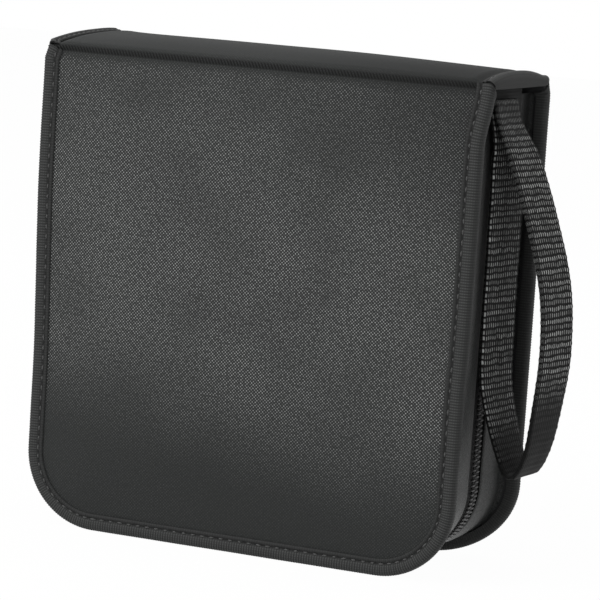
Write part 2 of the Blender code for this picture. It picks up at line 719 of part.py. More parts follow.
def strap_line():
    """Centre line of the strap's loop in the plane (x, z)."""
    top = FOLD_HEIGHT - STRAP_TOP_DROP
    route = [(STRAP_ANCHOR_X + out * STRAP_BOW, top - down * STRAP_DROP) for out, down in STRAP_ROUTE]
    fold = (STRAP_ANCHOR_X + STRAP_ROUTE[0][0] * STRAP_BOW / 2, top)
    return through([fold] + route, ROUTE_STEPS)


def strap_turn(height):
    """The webbing hangs square at its sewn end and turned a little lower down."""
    top = FOLD_HEIGHT - STRAP_TOP_DROP
    return STRAP_TWIST * ease((top - height - STRAP_DROP * 0.04) / (STRAP_DROP * 0.14))


def evenly(line, pitch):
    """A closed line stepped anew at half a pitch, with a whole number of pitches round it."""
    corners = line + [line[0]]
    marks = [0.0]
    for near, far in zip(corners, corners[1:]):
        marks.append(marks[-1] + (far - near).length)
    steps = 2 * round(marks[-1] / pitch)
    even = []
    span = 0
    for k in range(steps):
        distance = marks[-1] * k / steps
        while marks[span + 1] < distance:
            span += 1
        share = (distance - marks[span]) / (marks[span + 1] - marks[span])
        even.append(corners[span].lerp(corners[span + 1], share))
    return even


def wrist_strap(name, holder):
    """Closed loop of webbing with ribs across it, swept along the loop's centre line."""
    line = evenly(strap_line(), RIB_PITCH)
    count = len(line)
    rings = []
    for k in range(count):
        here = line[k]
        tangent = (line[(k + 1) % count] - line[k - 1]).normalized()
        half = STRAP_THICKNESS / 2 - (RIB_DEPTH if k % 2 else 0.0)
        normal = Vector((tangent.y, -tangent.x)) * half
        turn = strap_turn(here.y)
        along = Vector((math.sin(turn), math.cos(turn))) * STRAP_WIDTH / 2
        ring = []
        for face, edge in ((1, -1), (1, 1), (-1, 1), (-1, -1)):
            x = here.x + face * normal.x + edge * along.x
            ring.append(Vector((x, edge * along.y, here.y + face * normal.y)))
        rings.append(ring)
    bm = loft(rings + [rings[0]], cap=False)
    return add_part(name, bm, WEBBING, holder)


def strap_reach():
    """How far the loop stands out from the middle of the case."""
    widest = max(point.x for point in strap_line())
    return widest + STRAP_THICKNESS / 2 + math.sin(STRAP_TWIST) * STRAP_WIDTH / 2


def cover(side_name, side, holder):
    cover_panel(side_name + "_cover_panel", side, holder)
    cover_board(side_name + "_cover_board", side, holder)
    cover_lining(side_name + "_cover_lining", side, holder)
    cover_binding(side_name + "_cover_binding", side, holder)
    gusset(side_name + "_gusset", side, holder)
    zip_tape(side_name + "_zip_tape", side, holder)
    zip_teeth(side_name + "_zip_teeth", side, holder)
    stop(side_name + "_top_stop", side, False, holder, SLIDER_TOP + CLEARANCE)


def build():
    root = add_holder("back_cover_place", (0.0, 0.0, 0.0))
    back_fold = add_holder("back_fold_axis", (0.0, HALF_DEPTH, FOLD_HEIGHT), root)
    front_fold = add_holder("front_fold_axis", (0.0, -HALF_DEPTH, FOLD_HEIGHT), back_fold)
    slider_place = add_holder("slider_place", (left_x(TOOTH_INSET), 0.0, CROWN_MIDDLE), root)
    pull_axis = add_holder("pull_axis", (left_x(PULL_INSET), 0.0, CROWN_MIDDLE), slider_place)
    cover("back", 1.0, root)
    cover("front", -1.0, front_fold)
    stop("zip_end_stop", 1.0, True, root, CHAIN_TOP + CLEARANCE)
    spine_panel("spine_panel", back_fold)
    spine_board("spine_board", back_fold)
    spine_lining("spine_lining", back_fold)
    spine_binding("spine_binding_left", -1.0, back_fold)
    spine_binding("spine_binding_right", 1.0, back_fold)
    end_tab("end_tab_left", -1.0, TAB_DROP_LEFT, back_fold)
    end_tab("end_tab_right", 1.0, TAB_DROP_RIGHT, back_fold)
    disc_sleeves("disc_sleeves", back_fold)
    sleeve_strip("sleeve_strip", back_fold)
    wrist_strap("wrist_strap", back_fold)
    zip_slider("zip_slider", slider_place)
    zip_pull("zip_pull", pull_axis)


clear_scene()
CASE_X = (HALF_TOP - strap_reach()) / 2
parts = bpy.data.collections.new("disc_wallet")
bpy.context.scene.collection.children.link(parts)
build()
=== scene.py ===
import math

import bmesh
import bpy
from bpy.props import FloatProperty, FloatVectorProperty, IntProperty, PointerProperty
from bpy.types import Operator, Panel, PropertyGroup
from mathutils import Matrix, Vector, noise


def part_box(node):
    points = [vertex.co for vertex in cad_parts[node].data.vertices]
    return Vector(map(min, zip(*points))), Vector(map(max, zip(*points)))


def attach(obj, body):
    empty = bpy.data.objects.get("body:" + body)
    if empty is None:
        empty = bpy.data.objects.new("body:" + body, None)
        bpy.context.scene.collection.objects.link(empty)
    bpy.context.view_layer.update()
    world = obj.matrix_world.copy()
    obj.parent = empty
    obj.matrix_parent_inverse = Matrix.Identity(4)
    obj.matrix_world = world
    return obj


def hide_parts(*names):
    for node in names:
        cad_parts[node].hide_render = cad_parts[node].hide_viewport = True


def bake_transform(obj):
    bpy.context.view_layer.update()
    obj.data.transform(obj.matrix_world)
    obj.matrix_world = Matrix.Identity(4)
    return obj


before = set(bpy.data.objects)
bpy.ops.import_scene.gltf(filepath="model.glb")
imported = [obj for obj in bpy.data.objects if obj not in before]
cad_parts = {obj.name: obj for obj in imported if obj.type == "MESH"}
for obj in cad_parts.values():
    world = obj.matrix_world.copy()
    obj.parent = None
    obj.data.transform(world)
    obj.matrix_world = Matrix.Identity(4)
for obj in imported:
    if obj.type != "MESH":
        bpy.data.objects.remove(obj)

bl_info = {
    "name": "Disc wallet dresser",
    "version": (1, 0, 0),
    "blender": (4, 5, 0),
    "location": "3D View > Sidebar > Disc wallet",
    "description": "Sews the cloth, tapes, zip, strap and sleeves onto the packed disc wallet",
    "category": "Object",
}

# The case, in metres: X from the middle of the covers, sizes of the solids, and edges taken in to the photo
PANEL_LOW, PANEL_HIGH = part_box("front_cover_panel")
MIDDLE_X = (PANEL_LOW.x + PANEL_HIGH.x) / 2
HALF_WIDTH = 0.0778
HALF_TOP = 0.0800
FRONT_RIGHT = 0.0768
FRONT_ROUND = 0.0014
BACK_ROUND = 0.0008
FRONT_CORNER = (0.0258, 0.0258)
BACK_CORNER = (0.0325, 0.0265)
FLARE_START = 0.045
FLARE_END = 0.128
HALF_DEPTH = 0.0275
FOLD = 0.162
CORNER = 0.028
FOLD_GAP = 0.0004
MITRE = 0.0048
SEAM = 0.0009
BINDING = 0.0058
BINDING_BACK = 0.0061
BINDING_END = 0.0040
PANEL_EDGE = 0.0008
PANEL_THICK = 0.0006
CROWN_RISE = 0.0016
PILLOW_REACH = 0.020
FOLD_FADE = 0.034
FOLD_SHARE = 0.30
# The spine's arch above the folds: its crown, and how far it leans up towards the back, at each end
ARCH_LEFT = (0.0016, 0.0032)
ARCH_MIDDLE = (0.0036, 0.0006)
ARCH_RIGHT = (0.0031, -0.0011)
TAPE_INSET = 0.0052
TAPE_SEWN = 0.0115
TAPE_FOLD = 0.0060
TAPE_FREE = 0.0004
TAPE_THICK = 0.0005
CHAIN_TOP = 0.149
COIL_INSET = 0.0044
# Middle of a turn of the coil and half its length. Beside the slot for the slider's divider, its middle
# and the share of its length that is left
COIL_MIDDLE, COIL_HALF = 0.00150, 0.00162
SLOT_MIDDLE, SLOT_SHARE = 0.00172, 0.864
SLIDER_REACH = 0.022
STRIP_TOP = FOLD - 0.0052
STRIP_STEP = 0.0016
DISC_HEIGHT = 0.0815
STRAP_ANCHOR_X = 0.0761
STRAP_TOP = FOLD - 0.0066
STRAP_BOW = 0.0217
STRAP_DROP = 0.1215
STRAP_WIDTH = 0.021
STRAP_THICKNESS = 0.0014
STRAP_TWIST = math.radians(9.0)
STRAP_SKEW = 0.0090
# Centre line of the strap's loop from its sewn end, as shares of the bow and the drop
STRAP_ROUTE = (
    (0.077, 0.010), (0.095, 0.052), (0.19, 0.117), (0.375, 0.195), (0.57, 0.285),
    (0.81, 0.415), (0.94, 0.52), (0.99, 0.66), (0.93, 0.80), (0.84, 0.915),
    (0.68, 0.985), (0.52, 0.985), (0.37, 0.93), (0.22, 0.85), (0.095, 0.755),
    (0.055, 0.62), (0.045, 0.45), (0.03, 0.25), (0.0, 0.055), (0.0, 0.010),
)
# The covers by their side along Y, and the ends of the spine by their hand along X
COVERS = (("front", -1.0), ("back", 1.0))
ENDS = (("left", -1.0), ("right", 1.0))


def a_colour(name, about, *value):
    return FloatVectorProperty(name=name, description=about, subtype="COLOR", default=value, min=0.0, max=1.0)


def a_length(name, about, value, least=0.0):
    return FloatProperty(name=name, description=about, default=value, min=least, unit="LENGTH", precision=5)


class WalletCloth(PropertyGroup):
    """The nylon of the covers and the spine."""
    weave: a_length("Weave", "One dot of the weave to the next along a row", 0.00112, 0.0004)
    cloth_colour: a_colour("Nylon", "Colour of the nylon between its dots", 0.0225, 0.0238, 0.0234)
    # The dots are painted sheen: the light that the crossings of the yarn catch.
    dot_sheen_colour: a_colour("Dots", "Colour of the crossings of the yarn", 0.34, 0.346, 0.34)
    pressure: FloatProperty(
        name="Padding", description="How hard the padding pushes on the cloth in the simulation",
        default=4.0, min=0.0)
    swell: a_length("Swell", "The most that the padding lifts the cloth", 0.0012)
    pucker: a_length("Pucker", "How deep the cloth is drawn in at a stitch", 0.00014)


class WalletTrim(PropertyGroup):
    """The tapes round the edges, their stitches and the zip."""
    tape_colour: a_colour("Binding tape", "Colour of the tape round the edges", 0.024, 0.0247, 0.0243)
    rib: a_length("Rib", "One rib of the binding tape to the next", 0.0009, 0.0005)
    stitch: a_length("Stitch", "One stitch to the next", 0.0034, 0.001)
    coil: a_length("Coil", "One turn of the zip's coil to the next", 0.0017, 0.001)
    gusset_colour: a_colour("Gusset", "Colour of the strip beside the zip", 0.011, 0.0115, 0.0113)


class WalletStrap(PropertyGroup):
    """The ribbed loop at the right end."""
    strap_colour: a_colour("Webbing", "Colour of the webbing between its picks", 0.003, 0.003, 0.003)
    # The picks' bright colour is a painted sheen on the black yarn.
    pick_sheen_colour: a_colour("Pick colour", "Colour of the yarn that shows on the ribs", 0.40, 0.407, 0.40)
    rib: a_length("Rib", "One rib to the next along the webbing", 0.0040, 0.001)
    picks: IntProperty(
        name="Picks", description="Threads side by side across the webbing", default=15, min=4)


class WalletStage(PropertyGroup):
    """The camera, the floor and the lamps."""
    lens: FloatProperty(
        name="Lens", description="Focal length in millimetres", default=193.7, min=20.0)
    key: FloatProperty(
        name="Key lamp", description="Strength of the large soft lamp, in watts",
        default=22.0, min=0.0, subtype="POWER")
    sky: FloatProperty(
        name="Sky", description="Strength of the even light from all round", default=0.55, min=0.0)
    floor_colour: a_colour("Floor", "Colour of the floor", 0.9, 0.9, 0.9)


# Shapes

def ease(share):
    """Smooth step from 0 to 1."""
    share = min(1.0, max(0.0, share))
    return share * share * (3.0 - 2.0 * share)


def half_at(height, side, hand):
    """Half the width of a cover to its left (-1) or right (1) hand. Side 0 is the zip."""
    if side == 0:
        return HALF_WIDTH
    if side > 0:
        return HALF_TOP - BACK_ROUND * ease((height - 0.156) / 0.006)
    if hand > 0:
        middle = 0.0005 * ease((height - 0.050) / 0.040)
        return FRONT_RIGHT + middle + 0.0026 * ease((height - 0.140) / 0.020)
    share = ease((height - FLARE_START) / (FLARE_END - FLARE_START))
    wide = HALF_WIDTH + (HALF_TOP - HALF_WIDTH) * share
    return wide - FRONT_ROUND * ease((height - 0.157) / 0.005)


def corner_at(side):
    """Width and height of the curve of a lower corner."""
    if side == 0:
        return CORNER, CORNER
    return FRONT_CORNER if side < 0 else BACK_CORNER


def inset_of(x, z, side):
    """How far a point of a cover lies inside its outline."""
    hand = 1.0 if x > 0 else -1.0
    wide, high = corner_at(side)
    flat = half_at(0.0, side, hand) - wide
    if z < high and abs(x) > flat:
        return (1.0 - math.hypot((abs(x) - flat) / wide, (high - z) / high)) * (wide + high) / 2
    return min(half_at(z, side, hand) - abs(x), z)


def panel_depth(inset, height):
    """Depth of the nylon's outer face: under the binding, then up over the padding."""
    slope = math.sin(math.pi / 2 * min(1.0, max(0.0, (inset - BINDING_BACK) / PILLOW_REACH)))
    fade = FOLD_SHARE + (1.0 - FOLD_SHARE) * ease((FOLD - height) / FOLD_FADE)
    return PANEL_EDGE - (PANEL_EDGE + CROWN_RISE) * slope * fade


def outline(side, top=FOLD - FOLD_GAP):
    """Points (x, z) of the edge of a cover, or of the zip for side 0, from the left fold to the right one."""
    wide, high = corner_at(side)
    halves = []
    for hand in (-1.0, 1.0):
        flat = half_at(0.0, side, hand) - wide
        half = []
        for step in range(25):
            angle = math.radians(-90.0 + 90.0 * step / 24)
            half.append(Vector((hand * (flat + wide * math.cos(angle)), high + high * math.sin(angle))))
        for step in range(1, 61):
            height = high + (top - high) * step / 60
            half.append(Vector((hand * half_at(height, side, hand), height)))
        halves.append(half)
    return halves[0][::-1] + halves[1]


def marks_of(line):
    """Distance along a line to each of its points. Only their first two numbers count."""
    marks = [0.0]
    for near, far in zip(line, line[1:]):
        marks.append(marks[-1] + (Vector(far[:2]) - Vector(near[:2])).length)
    return marks


def stations(points, pitch, closed=False):
    """Even steps along a line: (point, direction, distance) for each."""
    line = list(points) + ([points[0]] if closed else [])
    marks = marks_of(line)
    count = max(2, round(marks[-1] / pitch))
    even = []
    span = 0
    for k in range(count + (0 if closed else 1)):
        distance = marks[-1] * k / count
        while span < len(line) - 2 and marks[span + 1] < distance:
            span += 1
        share = (distance - marks[span]) / max(1e-9, marks[span + 1] - marks[span])
        even.append([line[span].lerp(line[span + 1], min(1.0, share)), None, distance])
    last = len(even) - 1
    for k, station in enumerate(even):
        if closed:
            station[1] = (even[(k + 1) % len(even)][0] - even[k - 1][0]).normalized()
        else:
            station[1] = (even[min(last, k + 1)][0] - even[max(0, k - 1)][0]).normalized()
    return even


def net(rows, chart=None):
    """A bmesh grid laid on rows of points, with the chart (u, v in metres) in a map named cloth."""
    bm = bmesh.new()
    across = len(rows[0])
    made = bmesh.ops.create_grid(bm, x_segments=across - 1, y_segments=len(rows) - 1, size=1.0)
    for vert, point in zip(made["verts"], (point for row in rows for point in row)):
        vert.co = (point[0] + MIDDLE_X, point[1], point[2])
    if chart:
        bm.verts.index_update()
        layer = bm.loops.layers.uv.new("cloth")
        for face in bm.faces:
            for loop in face.loops:
                row, column = divmod(loop.vert.index, across)
                loop[layer].uv = chart[row][column]
    return bm


def piece(name, bm, finish, weld=0.00002, smooth=60.0, outwards=True):
    """A finished object at the origin, with its place in its mesh."""
    if weld:
        bmesh.ops.remove_doubles(bm, verts=bm.verts[:], dist=weld)
    if outwards:
        bmesh.ops.recalc_face_normals(bm, faces=bm.faces[:])
    mesh = bpy.data.meshes.new(name)
    bm.to_mesh(mesh)
    bm.free()
    mesh.shade_smooth()
    if smooth < 180.0:
        mesh.set_sharp_from_angle(angle=math.radians(smooth))
    mesh.materials.append(finish)
    made = bpy.data.objects.new(name, mesh)
    bpy.context.scene.collection.objects.link(made)
    return made


def tube(rows, chart=None):
    """A net whose rows are closed rings, capped at both ends."""
    rows = [row + [row[0]] for row in rows]
    if chart:
        chart = [line + [(line[-1][0], line[-1][1] + 0.0005)] for line in chart]
    bm = net(rows, chart)
    bmesh.ops.remove_doubles(bm, verts=bm.verts[:], dist=0.000005)
    bmesh.ops.holes_fill(bm, edges=[edge for edge in bm.edges if edge.is_boundary], sides=0)
    return bm


def copies(prototype, places):
    """Copies of a small shape at many places, in one bmesh."""
    bm = bmesh.new()
    mesh = bpy.data.meshes.new("prototype")
    prototype.to_mesh(mesh)
    prototype.free()
    for place in places:
        start = len(bm.verts)
        bm.from_mesh(mesh)
        bm.verts.ensure_lookup_table()
        bmesh.ops.transform(bm, matrix=place, verts=bm.verts[start:])
    bpy.data.meshes.remove(mesh)
    return bm


def turned(point, axis_x, axis_y, axis_z):
    """A matrix that puts a shape at a point of the case, with its axes along three directions."""
    made = Matrix((axis_x, axis_y, axis_z)).transposed().to_4x4()
    made.translation = Vector((point[0] + MIDDLE_X, point[1], point[2]))
    return made


# Materials

class Flow:
    """The output of a shader node, in sums written out like those of numbers."""

    def __init__(self, tree, socket):
        self.tree, self.socket = tree, socket

    def maths(self, operation, *values, clamp=False):
        node = self.tree.nodes.new("ShaderNodeMath")
        node.operation = operation
        node.use_clamp = clamp
        for socket, value in zip(node.inputs, values):
            feed(value, socket)
        return Flow(self.tree, node.outputs[0])

    def __add__(self, other):
        return self.maths("ADD", self, other)

    def __radd__(self, other):
        return self.maths("ADD", other, self)

    def __sub__(self, other):
        return self.maths("SUBTRACT", self, other)

    def __rsub__(self, other):
        return self.maths("SUBTRACT", other, self)

    def __mul__(self, other):
        return self.maths("MULTIPLY", self, other)

    def __truediv__(self, other):
        return self.maths("DIVIDE", self, other)

    def __abs__(self):
        return self.maths("ABSOLUTE", self)

    def fraction(self):
        return self.maths("FRACT", self)


def feed(value, socket):
    """Link a flow to a socket, or set the socket to a plain value."""
    if isinstance(value, Flow):
        value.tree.links.new(value.socket, socket)
    else:
        socket.default_value = value


def blend(share, low, high):
    node = share.tree.nodes.new("ShaderNodeMix")
    node.data_type = "RGBA"
    feed(share, node.inputs[0])
    for value, socket in ((low, node.inputs[6]), (high, node.inputs[7])):
        feed(value if isinstance(value, Flow) else (*value, 1.0), socket)
    return Flow(share.tree, node.outputs[2])


def ramp(value, low, high):
    """A smooth step from 0 at low to 1 at high."""
    node = value.tree.nodes.new("ShaderNodeMapRange")
    node.interpolation_type = "SMOOTHSTEP"
    feed(value, node.inputs["Value"])
    node.inputs["From Min"].default_value = low
    node.inputs["From Max"].default_value = high
    return Flow(value.tree, node.outputs["Result"])


def band(value, rise, fall):
    """1 between two ramps and 0 outside them."""
    return ramp(value, *rise) * (1.0 - ramp(value, *fall))


def speckle(place, scale, detail=3.0, roughness=0.55):
    node = place.tree.nodes.new("ShaderNodeTexNoise")
    feed(place, node.inputs["Vector"])
    node.inputs["Scale"].default_value = scale
    node.inputs["Detail"].default_value = detail
    node.inputs["Roughness"].default_value = roughness
    return Flow(place.tree, node.outputs[0])


def parted(tree, source):
    """A vector output as flows: the vector and its three parts, in metres."""
    parts = tree.nodes.new("ShaderNodeSeparateXYZ")
    tree.links.new(source, parts.inputs[0])
    return [Flow(tree, socket) for socket in (source, *parts.outputs)]


def chart_of(tree):
    """The cloth map as (vector, u, v)."""
    uv = tree.nodes.new("ShaderNodeUVMap")
    uv.uv_map = "cloth"
    return parted(tree, uv.outputs[0])[:3]


def place_of(tree):
    """The object's own coordinates as (vector, x, y, z)."""
    return parted(tree, tree.nodes.new("ShaderNodeTexCoord").outputs["Object"])


def bumped(height, distance, strength, under=None):
    node = height.tree.nodes.new("ShaderNodeBump")
    node.inputs["Strength"].default_value = strength
    node.inputs["Distance"].default_value = distance
    feed(height, node.inputs["Height"])
    if under:
        feed(under, node.inputs["Normal"])
    return Flow(height.tree, node.outputs[0])


def wave(value, pitch):
    """Cosine of a length, with one turn to each pitch."""
    return value.maths("COSINE", value * (2.0 * math.pi / pitch))


def grey(value):
    return (value, value * 1.02, value * 1.01)


def shaded(colour, share):
    return tuple(c * share for c in colour)


def finish(name, paint, specular, *values, metallic=0.0):
    """The material of this name. Its paint function gives colour, normal and roughness, on its first use."""
    found = bpy.data.materials.get(name)
    if found:
        return found
    made = bpy.data.materials.new(name)
    made.use_nodes = True
    shader = made.node_tree.nodes["Principled BSDF"]
    shader.inputs["Specular IOR Level"].default_value = specular
    shader.inputs["Metallic"].default_value = metallic
    for value, socket in zip(paint(made.node_tree, *values), ("Base Color", "Normal", "Roughness")):
        if value is not None:
            feed(value, shader.inputs[socket])
    return made


def nylon_paint(tree, cloth):
    """Twill with a light dot of painted sheen at each crossing, dimmed by painted shade near the foot and towards the
    top and fading out over the spine. Painted shade also darkens the top right corner, the spine towards its right
    end and the crease at the fold.
    """
    chart, u, v = chart_of(tree)
    crossing = wave(u, cloth.weave) * wave(v, cloth.weave)
    # The dots at the crossings are painted sheen, stronger or weaker at random.
    glint = ramp(speckle(chart, 1100.0, 1.0), 0.34, 0.62)
    dots = ramp(crossing, 0.05, 0.85) * (0.25 + glint * 0.75)
    # The painted sheen of the dots fades out over the fold onto the spine; painted shade dims it towards the foot and
    # towards the top.
    over_fold = ramp(v, FOLD - 0.0062, FOLD - 0.0026)
    foot_shade_ramp = ramp(v + u * 0.16, 0.020, 0.066)
    patches = ramp(speckle(chart, 28.0, 2.0), 0.30, 0.62)
    # Painted shade at the top right corner: its dots are dimmer.
    far_corner_shade = ramp(v, 0.095, 0.155) * ramp(u, -0.01, 0.07)
    show = (1.0 - over_fold * 0.88) * (0.08 + foot_shade_ramp * 0.92) * (0.72 + patches * 0.40)
    show = show * (1.0 - ramp(v, 0.105, 0.158) * 0.30) * (1.0 - far_corner_shade * 0.25)
    light = dots.maths("MULTIPLY", dots, show, clamp=True)
    cast = blend(light, cloth.cloth_colour, cloth.dot_sheen_colour)
    cast = blend(speckle(chart, 900.0, 2.0) * 0.35, cast, grey(0.042))
    # Painted shade darkens the top right corner of the cover.
    cast = blend(far_corner_shade * 0.30, cast, grey(0.006))
    # Painted shade: the spine is darker towards its right end.
    spine = ramp(v, FOLD - 0.001, FOLD + 0.004) * (0.02 + ramp(u, 0.0, 0.08) * 0.26)
    cast = blend(spine, cast, grey(0.004))
    # Painted shade in the crease at the fold, broken by slanted lines of the weave.
    crease_shade = ramp(v, FOLD - 0.0030, FOLD - 0.0022) - ramp(v, FOLD - 0.0010, FOLD + 0.0004)
    hatch = ramp(wave(u + v * 0.6, cloth.weave), -0.6, 0.6)
    cast = blend(crease_shade * (0.45 + hatch * 0.5), cast, grey(0.006))
    slub = bumped(speckle(chart, 260.0, 2.0), 0.00005, 0.5)
    rough = 0.55 + light * -0.10 + over_fold * 0.12
    return cast, bumped(crossing * show, 0.00006, 0.7, slub), rough


def tape_paint(tree, trim):
    """Ribbed tape: fine threads along it, a painted highlight on each rib with painted shade between, a painted
    shadow in the groove by the seam, painted shade along its outer edge just under the fold, and lint.
    """
    chart, u, v = chart_of(tree)
    worn = speckle(chart, 420.0, 4.0)
    flat = 1.0 - ramp(v, 0.0018, 0.0034)
    rolled = ramp(v, 0.0050, 0.0068)
    # Painted highlights on the ribs, weaker on the flat part and on the roll: the colour runs from a shaded to a lit
    # copy of the tape's colour.
    rib_highlights = ramp(wave(u, trim.rib), -0.4, 0.9) * (1.0 - flat * 0.7)
    rib_highlights = rib_highlights * (1.0 - rolled * 0.55) * (0.72 + wave(v, 0.0008) * 0.28)
    cast = blend(rib_highlights, shaded(trim.tape_colour, 0.62), shaded(trim.tape_colour, 2.3))
    # Painted shadow in the stitched groove by the seam, broken up at random.
    groove = 1.0 - ramp(abs(v - 0.0020), 0.0002, 0.0009)
    holes = ramp(speckle(chart, 520.0, 2.0), 0.42, 0.56)
    cast = blend(groove * (0.45 + holes * 0.5), cast, grey(0.003))
    cast = blend(worn * 0.22, cast, grey(0.06))
    place, x, y, z = place_of(tree)
    # Painted shade along the outermost side edge of the tape just under the fold, at the top corners of the covers
    # and on the lower edge of each end of the spine.
    hem = ramp(abs(x - MIDDLE_X), HALF_TOP - 0.0007, HALF_TOP - 0.0002)
    hem = hem * (1.0 - ramp(z, FOLD - 0.0022, FOLD + 0.0030)) * ramp(z, FOLD - 0.0032, FOLD - 0.0028)
    cast = blend(hem * 0.6, cast, grey(0.003))
    return cast, bumped(wave(v, 0.00042) * 0.25 + worn * 0.8, 0.00007, 0.6), 0.66


def grained_paint(tree, trim):
    """Coated cloth with a fine pebble grain, slightly shiny on its raised folds, with a painted highlight on each
    pebble and painted shadow towards its top.
    """
    place, x, y, z = place_of(tree)
    cells = tree.nodes.new("ShaderNodeTexVoronoi")
    feed(place, cells.inputs["Vector"])
    cells.inputs["Scale"].default_value = 1500.0
    pebbles = Flow(tree, cells.outputs["Distance"])
    cloudy = speckle(place, 60.0, 3.0)
    cast = blend(ramp(cloudy, 0.3, 0.7), shaded(trim.gusset_colour, 0.8), shaded(trim.gusset_colour, 1.35))
    # Painted highlights: the middle of each pebble is much lighter.
    cast = blend(ramp(pebbles, 0.25, 0.70), shaded(trim.gusset_colour, 3.2), cast)
    # Painted shadow: the strip is darker towards its top.
    cast = blend(ramp(z, 0.070, 0.120) * 0.6, cast, grey(0.002))
    soft = bumped(speckle(place, 45.0, 2.0), 0.0006, 0.5)
    return cast, bumped(pebbles, 0.00016, 0.8, soft), 0.38 + cloudy * 0.2


def chevron_paint(tree, pitch):
    """Plain tape woven in small chevrons."""
    chart, u, v = chart_of(tree)
    zigzag = abs((v / (pitch * 4.0)).fraction() - 0.5)
    lines = wave(u + zigzag * (pitch * 3.0), pitch)
    cast = blend(ramp(lines, -0.2, 0.9) * 0.6, (0.008, 0.008, 0.008), (0.035, 0.035, 0.035))
    fuzz = bumped(speckle(chart, 700.0, 2.0), 0.00005, 0.4)
    return cast, bumped(lines, 0.00006, 0.6, fuzz), 0.75


def thread_paint(tree):
    """Two-ply thread."""
    place, x, y, z = place_of(tree)
    twist = wave(x + y + z, 0.0005)
    cast = blend(ramp(twist, -0.6, 0.8), (0.012, 0.012, 0.012), (0.085, 0.086, 0.085))
    return cast, bumped(twist, 0.00004, 0.5), 0.5


def coil_paint(tree):
    """Moulded nylon of the coil, a little dusty."""
    dusty = speckle(place_of(tree)[0], 800.0, 3.0)
    cast = blend(ramp(dusty, 0.35, 0.75), (0.014, 0.014, 0.014), (0.045, 0.045, 0.045))
    return cast, None, 0.2 + dusty * 0.25


def rubbed_paint(tree):
    """Black paint on cast metal, rubbed a little at random."""
    place = place_of(tree)[0]
    rubbed = ramp(speckle(place, 500.0, 5.0, 0.7), 0.62, 0.78)
    cast = blend(rubbed, (0.010, 0.010, 0.010), (0.12, 0.12, 0.12))
    return cast, bumped(speckle(place, 1500.0, 2.0), 0.00003, 0.3), 0.24 + rubbed * 0.25


def webbing_paint(tree, strap):
    """Black webbing: picks of yarn shine in a bright row and a dimmer row on each rib, painted as sheen; painted
    shade dims it towards the sewn ends, most of it is taken out over the bottom of the loop, and a painted shadow
    darkens the pinched fold.
    """
    chart, u, v = chart_of(tree)
    wobble = (speckle(chart, 220.0, 2.0) - 0.5) * 0.0016
    turn = ((u + wobble) / strap.rib).fraction()
    # The bright and dim rows are painted sheen on each rib.
    bright = band(turn, (0.02, 0.10), (0.30, 0.42))
    dim = band(turn, (0.50, 0.58), (0.78, 0.90))
    # Over the lower outer strand and the bottom of the loop most of the painted sheen is taken out, leaving an even
    # dark grey.
    plain = band(u, (0.088, 0.108), (0.128, 0.134))
    # Painted shadow in the pinched fold at the bottom of the loop.
    pinched_fold_shadow = band(u, (0.125, 0.130), (0.137, 0.148))
    # Painted shade: the sheen dims towards both sewn ends, at the top under the end of the spine.
    sewn = band(u, (0.0, 0.020), (0.228, 0.244))
    rows = (bright * 0.95 + dim * 0.60) * (1.0 - plain * 0.85) * (0.35 + sewn * 0.65)
    dash = ramp(wave(v, STRAP_WIDTH / strap.picks), -0.10, 0.65)
    patchy = ramp(speckle(chart, 330.0, 2.0), 0.30, 0.62)
    shine = rows.maths("MULTIPLY", rows * dash, 0.35 + patchy * 0.65, clamp=True)
    cast = blend(shine, strap.strap_colour, strap.pick_sheen_colour)
    # The painted sheen is mostly taken out over the bottom of the loop.
    cast = blend(plain * 0.8, cast, grey(0.008))
    cast = blend(pinched_fold_shadow * 0.85, cast, grey(0.001))
    fuzz = bumped(speckle(chart, 900.0, 2.0), 0.0001, 0.5)
    return cast, bumped(dash * 0.6 + rows * 0.8, 0.00022, 0.8, fuzz), 0.62


def weave_paint(tree, base, light, pitch, rough):
    """Fine plain weave on a flat face, read from the object's own place."""
    place, x, y, z = place_of(tree)
    over = wave(x + y, pitch) * wave(z + y, pitch)
    cast = blend(ramp(over, -0.5, 0.9), base, light)
    cast = blend(speckle(place, 40.0, 3.0) * 0.25, cast, shaded(base, 0.5))
    return cast, bumped(over, 0.00005, 0.5), rough


def lining_finish():
    return finish("plain_lining", weave_paint, 0.3, (0.010, 0.010, 0.011), (0.032, 0.032, 0.034), 0.0007, 0.7)


def board_paint(tree):
    """Pressed grey fibres."""
    fibres = speckle(place_of(tree)[0], 900.0, 5.0, 0.7)
    cast = blend(ramp(fibres, 0.3, 0.7), (0.11, 0.105, 0.095), (0.22, 0.21, 0.19))
    return cast, bumped(fibres, 0.0001, 0.4), 0.85


def sleeve_paint(tree):
    """Clear film over white fleece: a pressed ring round each disc and welded seams."""
    place, x, y, z = place_of(tree)
    across, up = x - MIDDLE_X, z - DISC_HEIGHT
    reach = x.maths("SQRT", across * across + up * up)
    disc = 1.0 - ramp(reach, 0.0592, 0.0612)
    hub = 1.0 - ramp(reach, 0.0070, 0.0082)
    weld = ramp(abs(across), 0.0645, 0.0655)
    dots = ramp(wave(x, 0.0018) * wave(z, 0.0018), 0.0, 0.7)
    fleece = speckle(place, 350.0, 4.0)
    cast = blend(ramp(fleece, 0.35, 0.65), (0.42, 0.43, 0.44), (0.56, 0.57, 0.58))
    cast = blend(disc * 0.35, cast, (0.30, 0.31, 0.33))
    cast = blend(weld * dots * 0.6, cast, (0.25, 0.26, 0.27))
    ripple = bumped(speckle(place, 30.0, 2.0), 0.0012, 0.5)
    return cast, bumped(disc - hub * 0.8 - weld * 0.5, 0.0006, 0.8, ripple), 0.22


# Cloth

